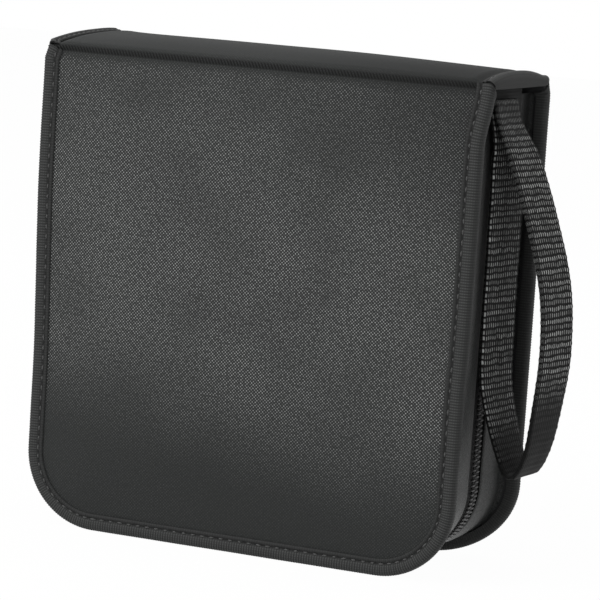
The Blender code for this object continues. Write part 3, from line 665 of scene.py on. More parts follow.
def spine_arch(x, y):
    """Height of the spine above its folds: leaning back at the left end, forward at the right one."""
    share = max(-1.0, min(1.0, y / HALF_DEPTH))
    side = max(-1.0, min(1.0, x / HALF_TOP))
    end = ARCH_RIGHT if side > 0 else ARCH_LEFT
    crown, lean = (middle + (far - middle) * side * side for middle, far in zip(ARCH_MIDDLE, end))
    return crown * (1.0 - abs(share) ** 2.4) + lean * (1.0 + share) / 2 * (1.0 - ease((share - 0.70) / 0.30))


def spine_drop(x):
    """How much lower the nylon lies where the binding of an end of the spine covers it."""
    return 0.0011 * ease((abs(x) - HALF_TOP + BINDING_END + 0.0028) / 0.0024)


def spine_half(y, hand):
    """Half the length of the spine, rounded towards the corner of each cover."""
    share = y / HALF_DEPTH
    rounding = (HALF_TOP - half_at(FOLD, -1.0, hand)) * (1.0 - ease((1.0 + share) / 0.14))
    return HALF_TOP - rounding - (HALF_TOP - half_at(FOLD, 1.0, hand)) * (1.0 - ease((1.0 - share) / 0.14))


def kept_in(x, y):
    """The same place along the spine, or just inside the edge of its band."""
    return max(-spine_half(y, -1.0) + 0.0016, min(spine_half(y, 1.0) - 0.0016, x))


def spine_height(x, y):
    return FOLD - spine_drop(x) + spine_arch(x, y)


def sheet_rows(side):
    """Rows of points from the foot of a cover, round the fold and up to the middle of the spine."""
    columns = 76
    bend = 0.0023
    wide, high = corner_at(side)
    inner = high - SEAM
    heights = [high - inner * math.cos(math.radians(90.0 * step / 15)) for step in range(15)]
    heights += [high + (FOLD - bend - high) * step / 60 for step in range(61)]
    rows, chart = [], []
    for height in heights:
        curve = math.sqrt(max(0.0, 1.0 - (max(0.0, high - height) / inner) ** 2))
        reach = (wide - SEAM) * curve - wide
        left, right = (half_at(height, side, hand) + reach for hand in (-1.0, 1.0))
        row = []
        for k in range(columns + 1):
            x = (left + right) * k / columns - left
            row.append(Vector((x, side * (HALF_DEPTH - panel_depth(inset_of(x, height, side), height)), height)))
        rows.append(row)
        chart.append([(point.x, height) for point in row])
    edge, start = [point.x for point in rows[-1]], rows[-1]

    def on_spine(y):
        return [Vector((kept_in(x, side * y), side * y, spine_height(x, side * y))) for x in edge]

    first = HALF_DEPTH - bend * 1.2
    rim = side * (HALF_DEPTH - PANEL_EDGE * 0.2)
    corner = [Vector((kept_in(x, side * HALF_DEPTH), rim, FOLD - spine_drop(x) * 0.4)) for x in edge]
    above = []
    for t in (step / 5 for step in range(1, 6)):
        above.append([begin * (1 - t) ** 2 + over * 2 * t * (1 - t) + landed * t * t
                      for begin, over, landed in zip(start, corner, on_spine(first))])
    above += [on_spine(first * (1.0 - step / 11)) for step in range(1, 12)]
    last = chart[-1][0][1]
    for row in above:
        last += (row[columns // 2] - rows[-1][columns // 2]).length
        rows.append(row)
        chart.append([(point.x, last) for point in row])
    return rows, chart


def seam_place(x, z):
    """Distance along the seam to the point nearest (x, z), from the middle of the foot."""
    flat = HALF_WIDTH - CORNER
    if z < CORNER and abs(x) > flat:
        angle = math.atan2(abs(x) - flat, CORNER - z)
        return math.copysign(flat + CORNER * angle, x)
    if z > CORNER and HALF_WIDTH - abs(x) < z:
        return math.copysign(flat + CORNER * math.pi / 2 + z - CORNER, x)
    return x


def swell(cloth, made, side):
    """Lets the padding push the cloth out between its seams, and keeps the result in the mesh."""
    rest = [vert.co.copy() for vert in made.data.vertices]
    pins = made.vertex_groups.new(name="sewn")
    for vert in made.data.vertices:
        x, z = vert.co.x - MIDDLE_X, vert.co.z
        held = inset_of(x, z, side) < BINDING_BACK + 0.0005 or z > FOLD - 0.003 or abs(vert.co.y) < 0.001
        pins.add([vert.index], 1.0 if held else 0.0, "REPLACE")
    push = made.modifiers.new("padding", "CLOTH")
    for setting, value in (
        ("vertex_group_mass", "sewn"), ("quality", 6), ("mass", 0.3), ("tension_stiffness", 25.0),
        ("compression_stiffness", 25.0), ("bending_stiffness", 4.0), ("use_pressure", True),
        ("uniform_pressure_force", cloth.pressure),
    ):
        setattr(push.settings, setting, value)
    push.settings.effector_weights.gravity = 0.0
    push.point_cache.frame_start = 1
    push.point_cache.frame_end = 20
    for step in range(1, 21):
        bpy.context.scene.frame_set(step)
    shaped = made.evaluated_get(bpy.context.evaluated_depsgraph_get())
    moved = [vert.co.copy() for vert in shaped.data.vertices]
    made.modifiers.remove(push)
    made.vertex_groups.remove(pins)
    bpy.context.scene.frame_set(1)
    for vert, start, end in zip(made.data.vertices, rest, moved):
        shift = end - start
        if shift.length > cloth.swell:
            shift = shift * (cloth.swell / shift.length)
        vert.co = start + shift
    made.data.update()


def drawn_in(cloth, trim, made, side):
    """Finer mesh, then the small puckers at the stitches and the soft unevenness of the padding."""
    bm = bmesh.new()
    bm.from_mesh(made.data)
    bmesh.ops.subdivide_edges(bm, edges=bm.edges[:], cuts=1, smooth=0.6, use_grid_fill=True)
    for vert in bm.verts:
        x, z = vert.co.x - MIDDLE_X, vert.co.z
        if z < FOLD - 0.002 and abs(vert.co.y) > HALF_DEPTH * 0.9:
            inset = inset_of(x, z, side)
            near = ease((inset - BINDING) / 0.001) * (1.0 - ease((inset - BINDING) / 0.007))
            place = seam_place(x, z)
            pull = 0.5 - 0.5 * math.cos(2.0 * math.pi * place / trim.stitch)
            rough = noise.noise(Vector((place * 140.0, inset * 90.0, side * 3.0)))
            wide = noise.noise(Vector((x * 26.0, z * 22.0, side * 7.0)))
            inside = ease((inset - BINDING) / 0.012) * ease((FOLD - z) / 0.02)
            depth = near * cloth.pucker * (pull + 1.6 * rough) - inside * 0.00028 * wide
            vert.co.y -= side * depth
        elif abs(vert.co.y) < HALF_DEPTH * 0.9:
            wide = noise.noise(Vector((x * 20.0, vert.co.y * 30.0, 5.0)))
            vert.co.z += 0.00022 * wide * (1.0 - ease((abs(x) - 0.066) / 0.008))
    for edge in bm.edges:
        edge.smooth = not edge.is_boundary
    bm.to_mesh(made.data)
    bm.free()


class WALLET_OT_nylon(Operator):
    """Sew the padded nylon of both covers, each carried over its fold to the middle of the spine"""
    bl_idname = "wallet.nylon"
    bl_label = "Nylon covers"

    def execute(self, context):
        cloth, trim = context.scene.wallet_cloth, context.scene.wallet_trim
        woven = finish("woven_nylon", nylon_paint, 0.06, cloth)
        for name, side in COVERS:
            rows, chart = sheet_rows(side)
            bm = net(rows, chart)
            if side > 0:
                bmesh.ops.reverse_faces(bm, faces=bm.faces[:])
            made = piece(name + "_nylon", bm, woven, weld=0.0, smooth=180.0, outwards=False)
            swell(cloth, made, side)
            drawn_in(cloth, trim, made, side)
            wall = made.modifiers.new("thickness", "SOLIDIFY")
            wall.thickness = PANEL_THICK
            wall.offset = -1.0
            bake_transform(made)
            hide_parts(name + "_cover_panel", "spine_panel")
        return {"FINISHED"}


# Bindings, stitches and gussets

# Tape folded over an edge: (inset, depth, share of the ribs), from the seam round to the inside
BINDING_SECTION = (
    (0.00585, 0.00074, 0.0), (0.00580, 0.00026, 0.2), (0.00535, 0.00006, 0.4), (0.00480, 0.00012, 0.3),
    (0.00440, 0.00044, 0.0), (0.00405, 0.00048, 0.0), (0.00365, 0.00014, 0.5), (0.00300, -0.00012, 1.0),
    (0.00220, -0.00020, 1.0), (0.00140, -0.00012, 1.0), (0.00075, 0.00020, 1.0), (0.00030, 0.00080, 0.9),
    (0.00004, 0.00160, 0.6), (0.0, 0.00250, 0.5), (0.00012, 0.00340, 0.6), (0.00060, 0.00405, 0.8),
    (0.00150, 0.00436, 0.8), (0.00300, 0.00440, 0.3), (0.00400, 0.00440, 0.0), (0.00400, 0.00392, 0.0),
    (0.00180, 0.00384, 0.0), (0.00070, 0.00300, 0.0), (0.00070, 0.00140, 0.0), (0.00160, 0.00070, 0.0),
)


def binding_net(side, rib):
    """The folded tape of a cover, swept round its outline with a fine rib across it."""
    marks = marks_of(BINDING_SECTION)
    rows, chart = [], []
    for point, direction, distance in stations(outline(side), rib / 4):
        out = Vector((direction.y, -direction.x))
        swellings = math.cos(2.0 * math.pi * distance / rib)
        uneven = noise.noise(Vector((distance * 55.0, side * 2.0, 1.0)))
        row = []
        for inset, depth, share in BINDING_SECTION:
            lift = share * (0.00007 * swellings + 0.00007 * uneven)
            inward = inset - (lift if inset < 0.001 else 0.0)
            deep = depth - (lift if depth < 0.002 else -lift)
            place = point - out * inward
            mitre = min(max(deep, 0.0), MITRE - FOLD_GAP) * ease((point.y - FOLD + 0.006) / 0.0055)
            row.append(Vector((place.x, side * (HALF_DEPTH - deep), place.y - mitre)))
        rows.append(row)
        chart.append([(distance, mark) for mark in marks])
    return tube(rows, chart)


# Tape over an end of the spine: (inset, drop, share of the arch, share of the ribs)
SPINE_SECTION = (
    (0.00405, 0.00080, 1.0, 0.0), (0.00400, 0.00022, 1.0, 0.2), (0.00360, 0.00002, 1.0, 0.3),
    (0.00320, 0.00016, 1.0, 0.1), (0.00295, 0.00040, 1.0, 0.0), (0.00270, 0.00018, 1.0, 0.1),
    (0.00220, -0.00034, 1.0, 0.5), (0.00150, -0.00036, 1.0, 0.6), (0.00080, -0.00008, 1.0, 0.6),
    (0.00036, 0.00048, 1.0, 0.5), (0.00006, 0.00110, 0.92, 0.3), (0.0, 0.00150, 0.62, 0.2),
    (0.0, 0.00190, 0.30, 0.2), (0.00010, 0.00226, 0.08, 0.3), (0.00060, 0.00262, 0.0, 0.4),
    (0.00200, 0.00268, 0.0, 0.2), (0.00400, 0.00262, 0.0, 0.0), (0.00400, 0.00214, 0.0, 0.0),
    (0.00120, 0.00214, 0.0, 0.0), (0.00062, 0.00190, 0.2, 0.0), (0.00060, 0.00120, 0.9, 0.0),
    (0.00120, 0.00062, 1.0, 0.0),
)


def spine_binding_net(hand, rib):
    """The folded tape of an end of the spine, swept from the front fold to the back fold."""
    count = round(2 * HALF_DEPTH / (rib / 4))
    marks = marks_of(SPINE_SECTION)
    rows, chart = [], []
    for k in range(count + 1):
        share = 2.0 * k / count - 1.0
        row = []
        swellings = math.cos(2.0 * math.pi * share * HALF_DEPTH / rib)
        uneven = noise.noise(Vector((share * 2.2, hand * 4.0, 8.0)))
        reach = spine_half(share * HALF_DEPTH, hand)
        for j, (inset, drop, arched, ribbed) in enumerate(SPINE_SECTION):
            lift = ribbed * (0.00005 * swellings + 0.00010 * uneven)
            y = share * (HALF_DEPTH - max(0.0, drop))
            rise = spine_arch(hand * HALF_TOP, y) * arched
            out, up = (lift if 8 < j < 15 else 0.0), (lift if j < 10 else 0.0)
            row.append(Vector((hand * (reach - inset + out), y, FOLD - drop + rise + up)))
        rows.append(row)
        chart.append([(share * HALF_DEPTH, mark) for mark in marks])
    return tube(rows, chart)


class WALLET_OT_bindings(Operator):
    """Fold the ribbed tape round the edges of the covers and the ends of the spine"""
    bl_idname = "wallet.bindings"
    bl_label = "Bindings"

    def execute(self, context):
        trim = context.scene.wallet_trim
        tape = finish("ribbed_tape", tape_paint, 0.18, trim)
        for name, side in COVERS:
            made = piece(name + "_binding", binding_net(side, trim.rib), tape, smooth=75.0)
            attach(made, name + "_cover")
            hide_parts(name + "_cover_binding")
        for name, hand in ENDS:
            bm = spine_binding_net(hand, trim.rib)
            made = piece("spine_end_" + name, bm, tape, smooth=75.0)
            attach(made, "spine")
            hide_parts("spine_binding_" + name)
        return {"FINISHED"}


def stitch_shape(length, radius):
    """One stitch: a short rounded bar along X, sunk at both ends."""
    bm = bmesh.new()
    bmesh.ops.create_uvsphere(bm, u_segments=8, v_segments=5, radius=radius,
                              matrix=Matrix.Rotation(math.radians(90.0), 4, "Y"))
    for vert in bm.verts:
        share = vert.co.x / radius
        vert.co.x = length / 2 * share
        vert.co.z -= radius * 0.9 * share ** 4
    return bm


class WALLET_OT_stitches(Operator):
    """Lay the stitches in the groove of each binding"""
    bl_idname = "wallet.stitches"
    bl_label = "Stitches"

    def execute(self, context):
        trim = context.scene.wallet_trim
        thread = finish("sewing_thread", thread_paint, 0.4)
        for name, side in COVERS:
            places = []
            for point, direction, distance in stations(outline(side, FOLD - 0.004), trim.stitch):
                out = Vector((direction.y, -direction.x))
                uneven = [noise.noise(Vector((distance * 700.0, side * 3.0, 2.0 * turn))) for turn in range(3)]
                spot = point - out * (0.0042 + 0.00022 * uneven[0])
                along = Vector((direction.x, 0.0, direction.y))
                up = Vector((0.0, side, 0.0))
                tilt = Matrix.Rotation(0.35 * uneven[1], 4, up)
                places.append(turned((spot.x, side * (HALF_DEPTH - 0.00036), spot.y),
                                     (tilt @ along) * (0.85 + 0.5 * uneven[2]), (tilt @ up.cross(along)), up))
            bm = copies(stitch_shape(trim.stitch * 0.62, 0.00036), places)
            made = piece(name + "_stitches", bm, thread, weld=0.0)
            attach(made, name + "_cover")
        for name, hand in ENDS:
            places = []
            count = round(2 * HALF_DEPTH / trim.stitch)
            for k in range(1, count - 1):
                y = HALF_DEPTH * (2.0 * (k + 0.5) / count - 1.0)
                far, near = (spine_arch(hand * HALF_TOP, y + step) for step in (0.0005, -0.0005))
                slope = (far - near) / 0.001
                along = Vector((0.0, 1.0, slope)).normalized()
                up = Vector((0.0, -slope, 1.0)).normalized()
                z = FOLD - 0.00026 + spine_arch(hand * HALF_TOP, y)
                places.append(turned((hand * (HALF_TOP - 0.00295), y, z), along, up.cross(along), up))
            bm = copies(stitch_shape(trim.stitch * 0.80, 0.00028), places)
            made = piece("spine_stitches_" + name, bm, thread, weld=0.0)
            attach(made, "spine")
        return {"FINISHED"}


# Gusset: (inset, distance from the middle plane), outer face first, from the seam to the free edge
GUSSET_SECTION = (
    (0.0010, 0.0253), (0.0024, 0.0248), (0.0036, 0.0240), (0.0041, 0.0226), (0.0040, 0.0200),
    (0.0037, 0.0165), (0.0037, 0.0130), (0.0040, 0.0095), (0.0042, 0.0070), (0.0044, 0.0057),
    (0.0047, 0.0055), (0.0049, 0.0060), (0.0048, 0.0095), (0.0048, 0.0160), (0.0048, 0.0225),
    (0.0046, 0.0249), (0.0010, 0.0256),
)


def nearest(point, line):
    """The place on a line that is nearest to a point."""
    best = None
    for near, far in zip(line, line[1:]):
        span = far - near
        share = max(0.0, min(1.0, (point - near).dot(span) / max(1e-12, span.length_squared)))
        place = near + span * share
        if best is None or (place - point).length < (best - point).length:
            best = place
    return best


class WALLET_OT_gussets(Operator):
    """Sew the grained strips that turn in from the bindings to the zip"""
    bl_idname = "wallet.gussets"
    bl_label = "Gussets"

    def execute(self, context):
        grained = finish("pebbled_strip", grained_paint, 0.26, context.scene.wallet_trim)
        for name, side in COVERS:
            rows, chart = [], []
            zip_edge = outline(0, STRIP_TOP)
            for point, direction, distance in stations(outline(side, STRIP_TOP), STRIP_STEP):
                out = Vector((direction.y, -direction.x))
                flare = (point - nearest(point, zip_edge)).dot(out)
                wobble = noise.noise(Vector((distance * 30.0, side * 5.0, 2.0)))
                row = []
                for inset, off in GUSSET_SECTION:
                    full = inset + flare * ease((inset - 0.0010) / 0.003)
                    middle = 1.0 - abs(off - 0.0150) / 0.0100
                    full += 0.00025 * wobble * max(0.0, middle)
                    place = point - out * full
                    row.append(Vector((place.x, side * off, place.y)))
                rows.append(row)
                chart.append([(distance, off) for inset, off in GUSSET_SECTION])
            made = piece(name + "_gusset_strip", tube(rows, chart), grained, smooth=60.0)
            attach(made, name + "_cover")
            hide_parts(name + "_gusset")
        return {"FINISHED"}


# Zip

def coil_turn():
    """One turn of the coil, along Y from its root to its head: a bent bar with a swollen head."""
    bm = bmesh.new()
    bmesh.ops.create_uvsphere(bm, u_segments=8, v_segments=7, radius=1.0,
                              matrix=Matrix.Rotation(math.radians(90.0), 4, "X"))
    for vert in bm.verts:
        share = vert.co.y
        vert.co.x *= 0.00038 * (1.25 if share > 0.6 else 1.0)
        vert.co.z = vert.co.z * 0.00052 + 0.00012 * (1.0 - share * share)
        vert.co.y = COIL_HALF * share
    return bm


class WALLET_OT_zip(Operator):
    """Lay the two tapes of the zip and the fine rows of its coil"""
    bl_idname = "wallet.zip"
    bl_label = "Zip"

    def execute(self, context):
        trim = context.scene.wallet_trim
        tape = finish("chevron_tape", chevron_paint, 0.3, 0.0007)
        nylon = finish("coil_nylon", coil_paint, 0.45)
        across = (TAPE_SEWN, TAPE_FOLD, TAPE_FREE)
        section = [(TAPE_INSET, off) for off in across] + [(TAPE_INSET + TAPE_THICK, off) for off in across[::-1]]
        for name, side in COVERS:
            rows, chart = [], []
            for point, direction, distance in stations(outline(0, STRIP_TOP), STRIP_STEP):
                out = Vector((direction.y, -direction.x))
                row = []
                for inset, off in section:
                    place = point - out * inset
                    row.append(Vector((place.x, side * off, place.y)))
                rows.append(row)
                chart.append([(distance, off) for inset, off in section])
            made = piece(name + "_tape", tube(rows, chart), tape, smooth=30.0)
            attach(made, name + "_cover")
            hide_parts(name + "_zip_tape")
            places = []
            path = stations(outline(0, CHAIN_TOP), trim.coil / 2)
            for point, direction, distance in path[1 if side > 0 else 0::2]:
                out = Vector((direction.y, -direction.x))
                spot = point - out * COIL_INSET
                head = Vector((0.0, -side, 0.0))
                up = Vector((out.x, 0.0, out.y))
                # The slider's divider runs down the left side, so the turns leave room for it only there.
                passed = spot.x < 0.0 and spot.y > SLIDER_REACH
                middle, share = (SLOT_MIDDLE, SLOT_SHARE) if passed else (COIL_MIDDLE, 1.0)
                places.append(turned((spot.x, side * middle, spot.y), head.cross(up), head, up)
                              @ Matrix.Diagonal((1.0, share, 1.0, 1.0)))
            made = piece(name + "_coil", copies(coil_turn(), places), nylon, weld=0.0)
            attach(made, name + "_cover")
            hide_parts(name + "_zip_teeth")
        return {"FINISHED"}


def soften(bm, edges, width, segments=2, clamp=False):
    bmesh.ops.bevel(bm, geom=edges, offset=width, segments=segments, profile=0.5, affect="EDGES",
                    material=-1, clamp_overlap=clamp)


def rounded(node, width, angle=30.0):
    """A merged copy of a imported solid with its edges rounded."""
    bm = bmesh.new()
    bm.from_mesh(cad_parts[node].data)
    bmesh.ops.remove_doubles(bm, verts=bm.verts[:], dist=0.00001)
    bmesh.ops.dissolve_limit(bm, angle_limit=math.radians(1.0), verts=bm.verts[:], edges=bm.edges[:])
    sharp = [edge for edge in bm.edges if edge.is_manifold and edge.calc_face_angle(0.0) > math.radians(angle)]
    soften(bm, sharp, width, clamp=True)
    return bm


class WALLET_OT_slider(Operator):
    """Finish the slider, its pull and the stops of the zip in worn black paint"""
    bl_idname = "wallet.slider"
    bl_label = "Slider"

    def execute(self, context):
        paint = finish("rubbed_paint", rubbed_paint, 0.5, metallic=0.35)
        for node, body, width in (
            ("zip_slider", "slider", 0.00022), ("zip_pull", "pull", 0.00025),
            ("front_top_stop", "front_cover", 0.0001), ("back_top_stop", "back_cover", 0.0001),
            ("zip_end_stop", "back_cover", 0.0001),
        ):
            made = piece(node + "_painted", rounded(node, width), paint, weld=0.0, smooth=35.0)
            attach(made, body)
            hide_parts(node)
        return {"FINISHED"}


# Strap

def strap_line():
    """Centre line of the strap's loop in the plane (x, z), by smooth spans through its route."""
    route = [(STRAP_ANCHOR_X + out * STRAP_BOW, STRAP_TOP - down * STRAP_DROP) for out, down in STRAP_ROUTE]
    points = [(STRAP_ANCHOR_X + STRAP_ROUTE[0][0] * STRAP_BOW / 2, STRAP_TOP)] + route
    count = len(points)
    curve = []
    for k in range(count):
        a, b, c, d = (Vector(points[(k + shift) % count]) for shift in (-1, 0, 1, 2))
        for step in range(12):
            t = step / 12
            curve.append(0.5 * (2 * b + (c - a) * t + (2 * a - 5 * b + 4 * c - d) * t * t
                                + (3 * b - a - 3 * c + d) * t ** 3))
    return curve


class WALLET_OT_strap(Operator):
    """Weave the ribbed webbing of the wrist strap round its loop"""
    bl_idname = "wallet.strap"
    bl_label = "Wrist strap"

    def execute(self, context):
        strap = context.scene.wallet_strap
        line = stations(strap_line(), strap.rib / 8, closed=True)
        total = len(line) * strap.rib / 8
        half_width, half = STRAP_WIDTH / 2, STRAP_THICKNESS / 2
        across = 24
        rows, chart = [], []
        for k, (here, tangent, distance) in enumerate(line):
            turn = (k % 8) / 8
            tall, low = math.exp(-((turn - 0.20) / 0.13) ** 2), math.exp(-((turn - 0.68) / 0.12) ** 2)
            bulge = 0.00020 * tall + 0.00008 * low - 0.00008
            normal = Vector((tangent.y, -tangent.x))
            twist = STRAP_TWIST * ease((STRAP_TOP - here.y - STRAP_DROP * 0.04) / (STRAP_DROP * 0.14))
            twist *= 1.0 - 0.6 * ease(((STRAP_TOP - here.y) / STRAP_DROP - 0.70) / 0.30)
            skew = STRAP_SKEW * (1.0 - ease((STRAP_TOP - here.y) / 0.018))
            row, mapped = [], []
            for j in range(2 * across):
                face = 1.0 if j <= across else -1.0
                share = (2.0 * j / across - 1.0) if j <= across else (3.0 - 2.0 * j / across)
                edge = ease((abs(share) - 0.90) / 0.10)
                thick = (half + bulge) * (1.0 - 0.85 * edge)
                if j in (0, across):
                    thick = 0.0
                slant = 0.00018 * noise.noise(Vector((share * 1.2, distance * 60.0, 4.0)))
                fray = noise.noise(Vector((distance * 240.0, 3.0, 0.0)))
                along = share * half_width * (1.0 + 0.012 * fray * abs(share))
                x = here.x + face * normal.x * thick + along * math.sin(twist) + normal.x * slant
                z = here.y + face * normal.y * thick + normal.y * slant
                row.append(Vector((x, along * math.cos(twist) - skew, z)))
                mapped.append((k * strap.rib / 8, share * half_width + (0.0 if face > 0 else 2 * STRAP_WIDTH)))
            rows.append(row)
            chart.append(mapped)
        rows.append(rows[0])
        chart.append([(total, v) for u, v in chart[0]])
        rows = [row + [row[0]] for row in rows]
        chart = [part + [part[0]] for part in chart]
        webbing = finish("ribbed_webbing", webbing_paint, 0.07, strap)
        made = piece("strap_webbing", net(rows, chart), webbing, weld=0.000004, smooth=180.0)
        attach(made, "spine")
        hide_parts("wrist_strap")
        return {"FINISHED"}


# Inside

class WALLET_OT_linings(Operator):
    """Lay the smooth lining inside each cover, to just within its binding"""
    bl_idname = "wallet.linings"
    bl_label = "Linings"

    def execute(self, context):
        lining = lining_finish()
        for name, side in COVERS:
            bm = bmesh.new()
            verts = []
            for point, direction, distance in stations(outline(side, FOLD - 0.0022), 0.003):
                place = point - Vector((direction.y, -direction.x)) * 0.0011
                verts.append(bm.verts.new((place.x + MIDDLE_X, side * 0.0256, place.y)))
            edges = [bm.edges.new(pair) for pair in zip(verts, verts[1:] + verts[:1])]
            sheet = bmesh.ops.contextual_create(bm, geom=edges)["faces"]
            grown = bmesh.ops.extrude_face_region(bm, geom=sheet)["geom"]
            inner = [item for item in grown if isinstance(item, bmesh.types.BMVert)]
            bmesh.ops.translate(bm, verts=inner, vec=(0.0, -side * 0.0014, 0.0))
            rim = [edge for edge in bm.edges if all(vert in inner for vert in edge.verts)]
            soften(bm, rim, 0.0004)
            bmesh.ops.triangulate(bm, faces=[face for face in bm.faces if len(face.verts) > 4])
            made = piece(name + "_lining_sheet", bm, lining, smooth=50.0)
            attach(made, name + "_cover")
            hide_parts(name + "_cover_lining")
        return {"FINISHED"}


class WALLET_OT_sleeves(Operator):
    """Hang the ten film sleeves from their hem, each with a pressed disc pocket"""
    bl_idname = "wallet.sleeves"
    bl_label = "Disc sleeves"

    def execute(self, context):
        low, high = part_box("disc_sleeves")
        leaves, gap = 10, 0.0009
        thick = (high.y - low.y - gap * (leaves - 1)) / leaves
        bm = bmesh.new()
        for k in range(leaves):
            y = low.y + thick / 2 + k * (thick + gap)
            size = (high.x - low.x, thick * 0.86, high.z - low.z - 0.004)
            place = Matrix.Translation(((low.x + high.x) / 2, y, low.z + size[2] / 2)) @ Matrix.Diagonal((*size, 1.0))
            verts = bmesh.ops.create_cube(bm, size=1.0, matrix=place)["verts"]
            edges = {edge for vert in verts for edge in vert.link_edges}
            corners = [
                edge for edge in edges
                if abs(edge.verts[0].co.x - edge.verts[1].co.x) < 1e-6
                and max(vert.co.z for vert in edge.verts) < low.z + 0.001
            ]
            soften(bm, corners, 0.021, segments=8)
        rims = [edge for edge in bm.edges if edge.calc_face_angle(0.0) > math.radians(50.0)]
        soften(bm, rims, 0.0009, segments=3, clamp=True)
        hem = Matrix.Translation(((low.x + high.x) / 2, 0.0, high.z - 0.0025))
        hem = hem @ Matrix.Diagonal((high.x - low.x, high.y - low.y, 0.005, 1.0))
        top = bmesh.ops.create_cube(bm, size=1.0, matrix=hem)["verts"]
        edges = list({edge for vert in top for edge in vert.link_edges})
        soften(bm, edges, 0.0007)
        film = finish("clear_sleeve", sleeve_paint, 0.55)
        made = piece("sleeve_leaves", bm, film, weld=0.0, smooth=40.0)
        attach(made, "spine")
        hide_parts("disc_sleeves")
        return {"FINISHED"}


class WALLET_OT_inside(Operator):
    """Give the linings, boards, strips and tabs that stay as packed their own finish"""
    bl_idname = "wallet.inside"
    bl_label = "Inside"

    def execute(self, context):
        strip = ((0.008, 0.008, 0.009), (0.026, 0.026, 0.027), 0.0011, 0.75)
        # The end tabs are black cloth, made darker still as painted shadow under the ends of the spine.
        black_tab_and_shadow = ((0.002, 0.002, 0.002), (0.012, 0.012, 0.012), 0.0011, 0.85)
        kinds = {
            "lining": lining_finish(), "board": finish("fibre_board", board_paint, 0.2),
            "strip": finish("plain_strip", weave_paint, 0.3, *strip),
            "end_tab": finish("tab_weave_and_shadow", weave_paint, 0.3, *black_tab_and_shadow),
        }
        for name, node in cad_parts.items():
            if node.hide_render:
                continue
            for word, cover in kinds.items():
                if word in name:
                    for slot in node.material_slots:
                        slot.material = cover
        return {"FINISHED"}


# Stage

def seen_directly(tree):
    """1 for what the camera sees, also in a reflection or through something clear."""
    paths = tree.nodes.new("ShaderNodeLightPath")
    camera, clear, glossy = (
        Flow(tree, paths.outputs[ray]) for ray in ("Is Camera Ray", "Is Transmission Ray", "Is Glossy Ray"))
    seen = camera.maths("MAXIMUM", camera, clear)
    return seen.maths("MAXIMUM", seen, glossy)


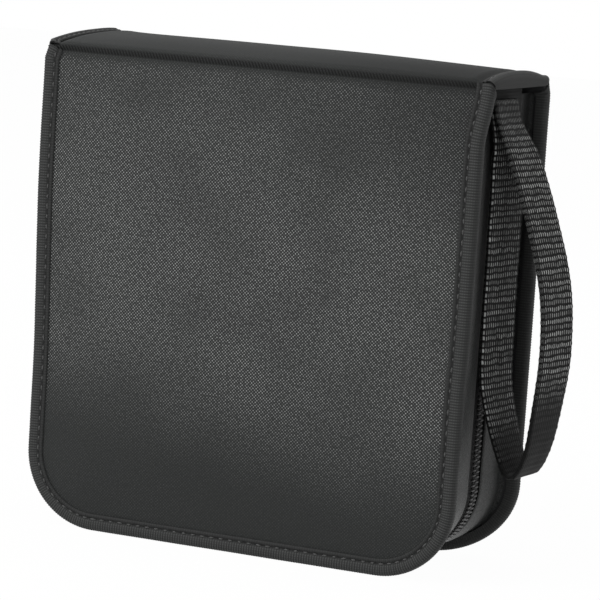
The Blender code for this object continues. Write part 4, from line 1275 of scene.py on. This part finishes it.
class WALLET_OT_stage(Operator):
    """Set the camera, a pale floor and soft studio light"""
    bl_idname = "wallet.stage"
    bl_label = "Stage"

    def execute(self, context):
        stage = context.scene.wallet_stage
        scene = context.scene
        scene.view_settings.view_transform = "Standard"
        yaw, pitch, roll = (math.radians(angle) for angle in (23.59, 7.22, 3.91))
        ahead = Vector((-math.sin(yaw) * math.cos(pitch), math.cos(yaw) * math.cos(pitch), -math.sin(pitch)))
        right = Vector((math.cos(yaw), math.sin(yaw), 0.0))
        up = right.cross(ahead)
        rolled = right * math.cos(roll) + up * math.sin(roll)
        upright = up * math.cos(roll) - right * math.sin(roll)
        lens = bpy.data.cameras.new("camera")
        lens.lens = stage.lens
        lens.sensor_width = 36.0
        lens.clip_start = 0.05
        lens.clip_end = 20.0
        camera = bpy.data.objects.new("camera", lens)
        camera.matrix_world = turned((0.42252 - MIDDLE_X, -0.97538, 0.21735), rolled, upright, -ahead)
        scene.collection.objects.link(camera)
        scene.camera = camera

        bm = bmesh.new()
        bmesh.ops.create_grid(bm, x_segments=8, y_segments=8, size=3.0)
        mesh = bpy.data.meshes.new("floor")
        bm.to_mesh(mesh)
        bm.free()
        floor = bpy.data.objects.new("floor", mesh)
        scene.collection.objects.link(floor)
        made = bpy.data.materials.new("floor")
        made.use_nodes = True
        tree = made.node_tree
        matt = tree.nodes["Principled BSDF"]
        matt.inputs["Base Color"].default_value = (*stage.floor_colour, 1.0)
        matt.inputs["Roughness"].default_value = 0.9
        glow = tree.nodes.new("ShaderNodeEmission")
        mix = tree.nodes.new("ShaderNodeMixShader")
        feed(seen_directly(tree) * 0.975, mix.inputs[0])
        tree.links.new(matt.outputs[0], mix.inputs[1])
        tree.links.new(glow.outputs[0], mix.inputs[2])
        tree.links.new(mix.outputs[0], tree.nodes["Material Output"].inputs[0])
        mesh.materials.append(made)

        world = bpy.data.worlds.new("studio")
        scene.world = world
        world.use_nodes = True
        tree = world.node_tree
        sky = tree.nodes["Background"]
        seen = seen_directly(tree)
        sky.inputs["Color"].default_value = (1.0, 1.0, 1.0, 1.0)
        feed(seen.maths("MAXIMUM", seen, stage.sky), sky.inputs["Strength"])

        for name, place, size, power in (
            ("key", (-0.75, -1.25, 1.25), 1.1, stage.key), ("top", (0.0, 0.15, 1.3), 0.9, stage.key * 0.12),
            ("side", (1.5, -0.5, 0.8), 0.8, stage.key * 0.08),
        ):
            lamp = bpy.data.lights.new(name, "AREA")
            lamp.shape = "SQUARE"
            lamp.size = size
            lamp.energy = power
            holder = bpy.data.objects.new(name, lamp)
            aim = Vector((0.0, 0.0, 0.08)) - Vector(place)
            holder.matrix_world = Matrix.Translation(place) @ aim.to_track_quat("-Z", "Y").to_matrix().to_4x4()
            scene.collection.objects.link(holder)
        return {"FINISHED"}


class WALLET_PT_dresser(Panel):
    """The pieces of the disc wallet and the values that shape them"""
    bl_idname = "WALLET_PT_dresser"
    bl_label = "Disc wallet"
    bl_space_type = "VIEW_3D"
    bl_region_type = "UI"
    bl_category = "Disc wallet"

    def draw(self, context):
        for operator in OPERATORS:
            self.layout.operator(operator.bl_idname)
        for values in VALUES:
            group = getattr(context.scene, values)
            box = self.layout.box()
            for name in group.__annotations__:
                box.prop(group, name)


OPERATORS = (
    WALLET_OT_stage, WALLET_OT_nylon, WALLET_OT_bindings, WALLET_OT_stitches, WALLET_OT_gussets,
    WALLET_OT_zip, WALLET_OT_slider, WALLET_OT_strap, WALLET_OT_linings, WALLET_OT_sleeves,
    WALLET_OT_inside,
)
VALUES = {
    "wallet_cloth": WalletCloth, "wallet_trim": WalletTrim, "wallet_strap": WalletStrap,
    "wallet_stage": WalletStage,
}
CLASSES = (*VALUES.values(), *OPERATORS, WALLET_PT_dresser)


def register():
    for item in CLASSES:
        bpy.utils.register_class(item)
    for name, item in VALUES.items():
        setattr(bpy.types.Scene, name, PointerProperty(type=item))


def unregister():
    for name in VALUES:
        delattr(bpy.types.Scene, name)
    for item in reversed(CLASSES):
        bpy.utils.unregister_class(item)


def main():
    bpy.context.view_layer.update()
    register()
    for operator in (
        bpy.ops.wallet.stage, bpy.ops.wallet.nylon, bpy.ops.wallet.bindings, bpy.ops.wallet.stitches,
        bpy.ops.wallet.gussets, bpy.ops.wallet.zip, bpy.ops.wallet.slider, bpy.ops.wallet.strap,
        bpy.ops.wallet.linings, bpy.ops.wallet.sleeves, bpy.ops.wallet.inside,
    ):
        operator()


if __name__ == "__main__":
    main()
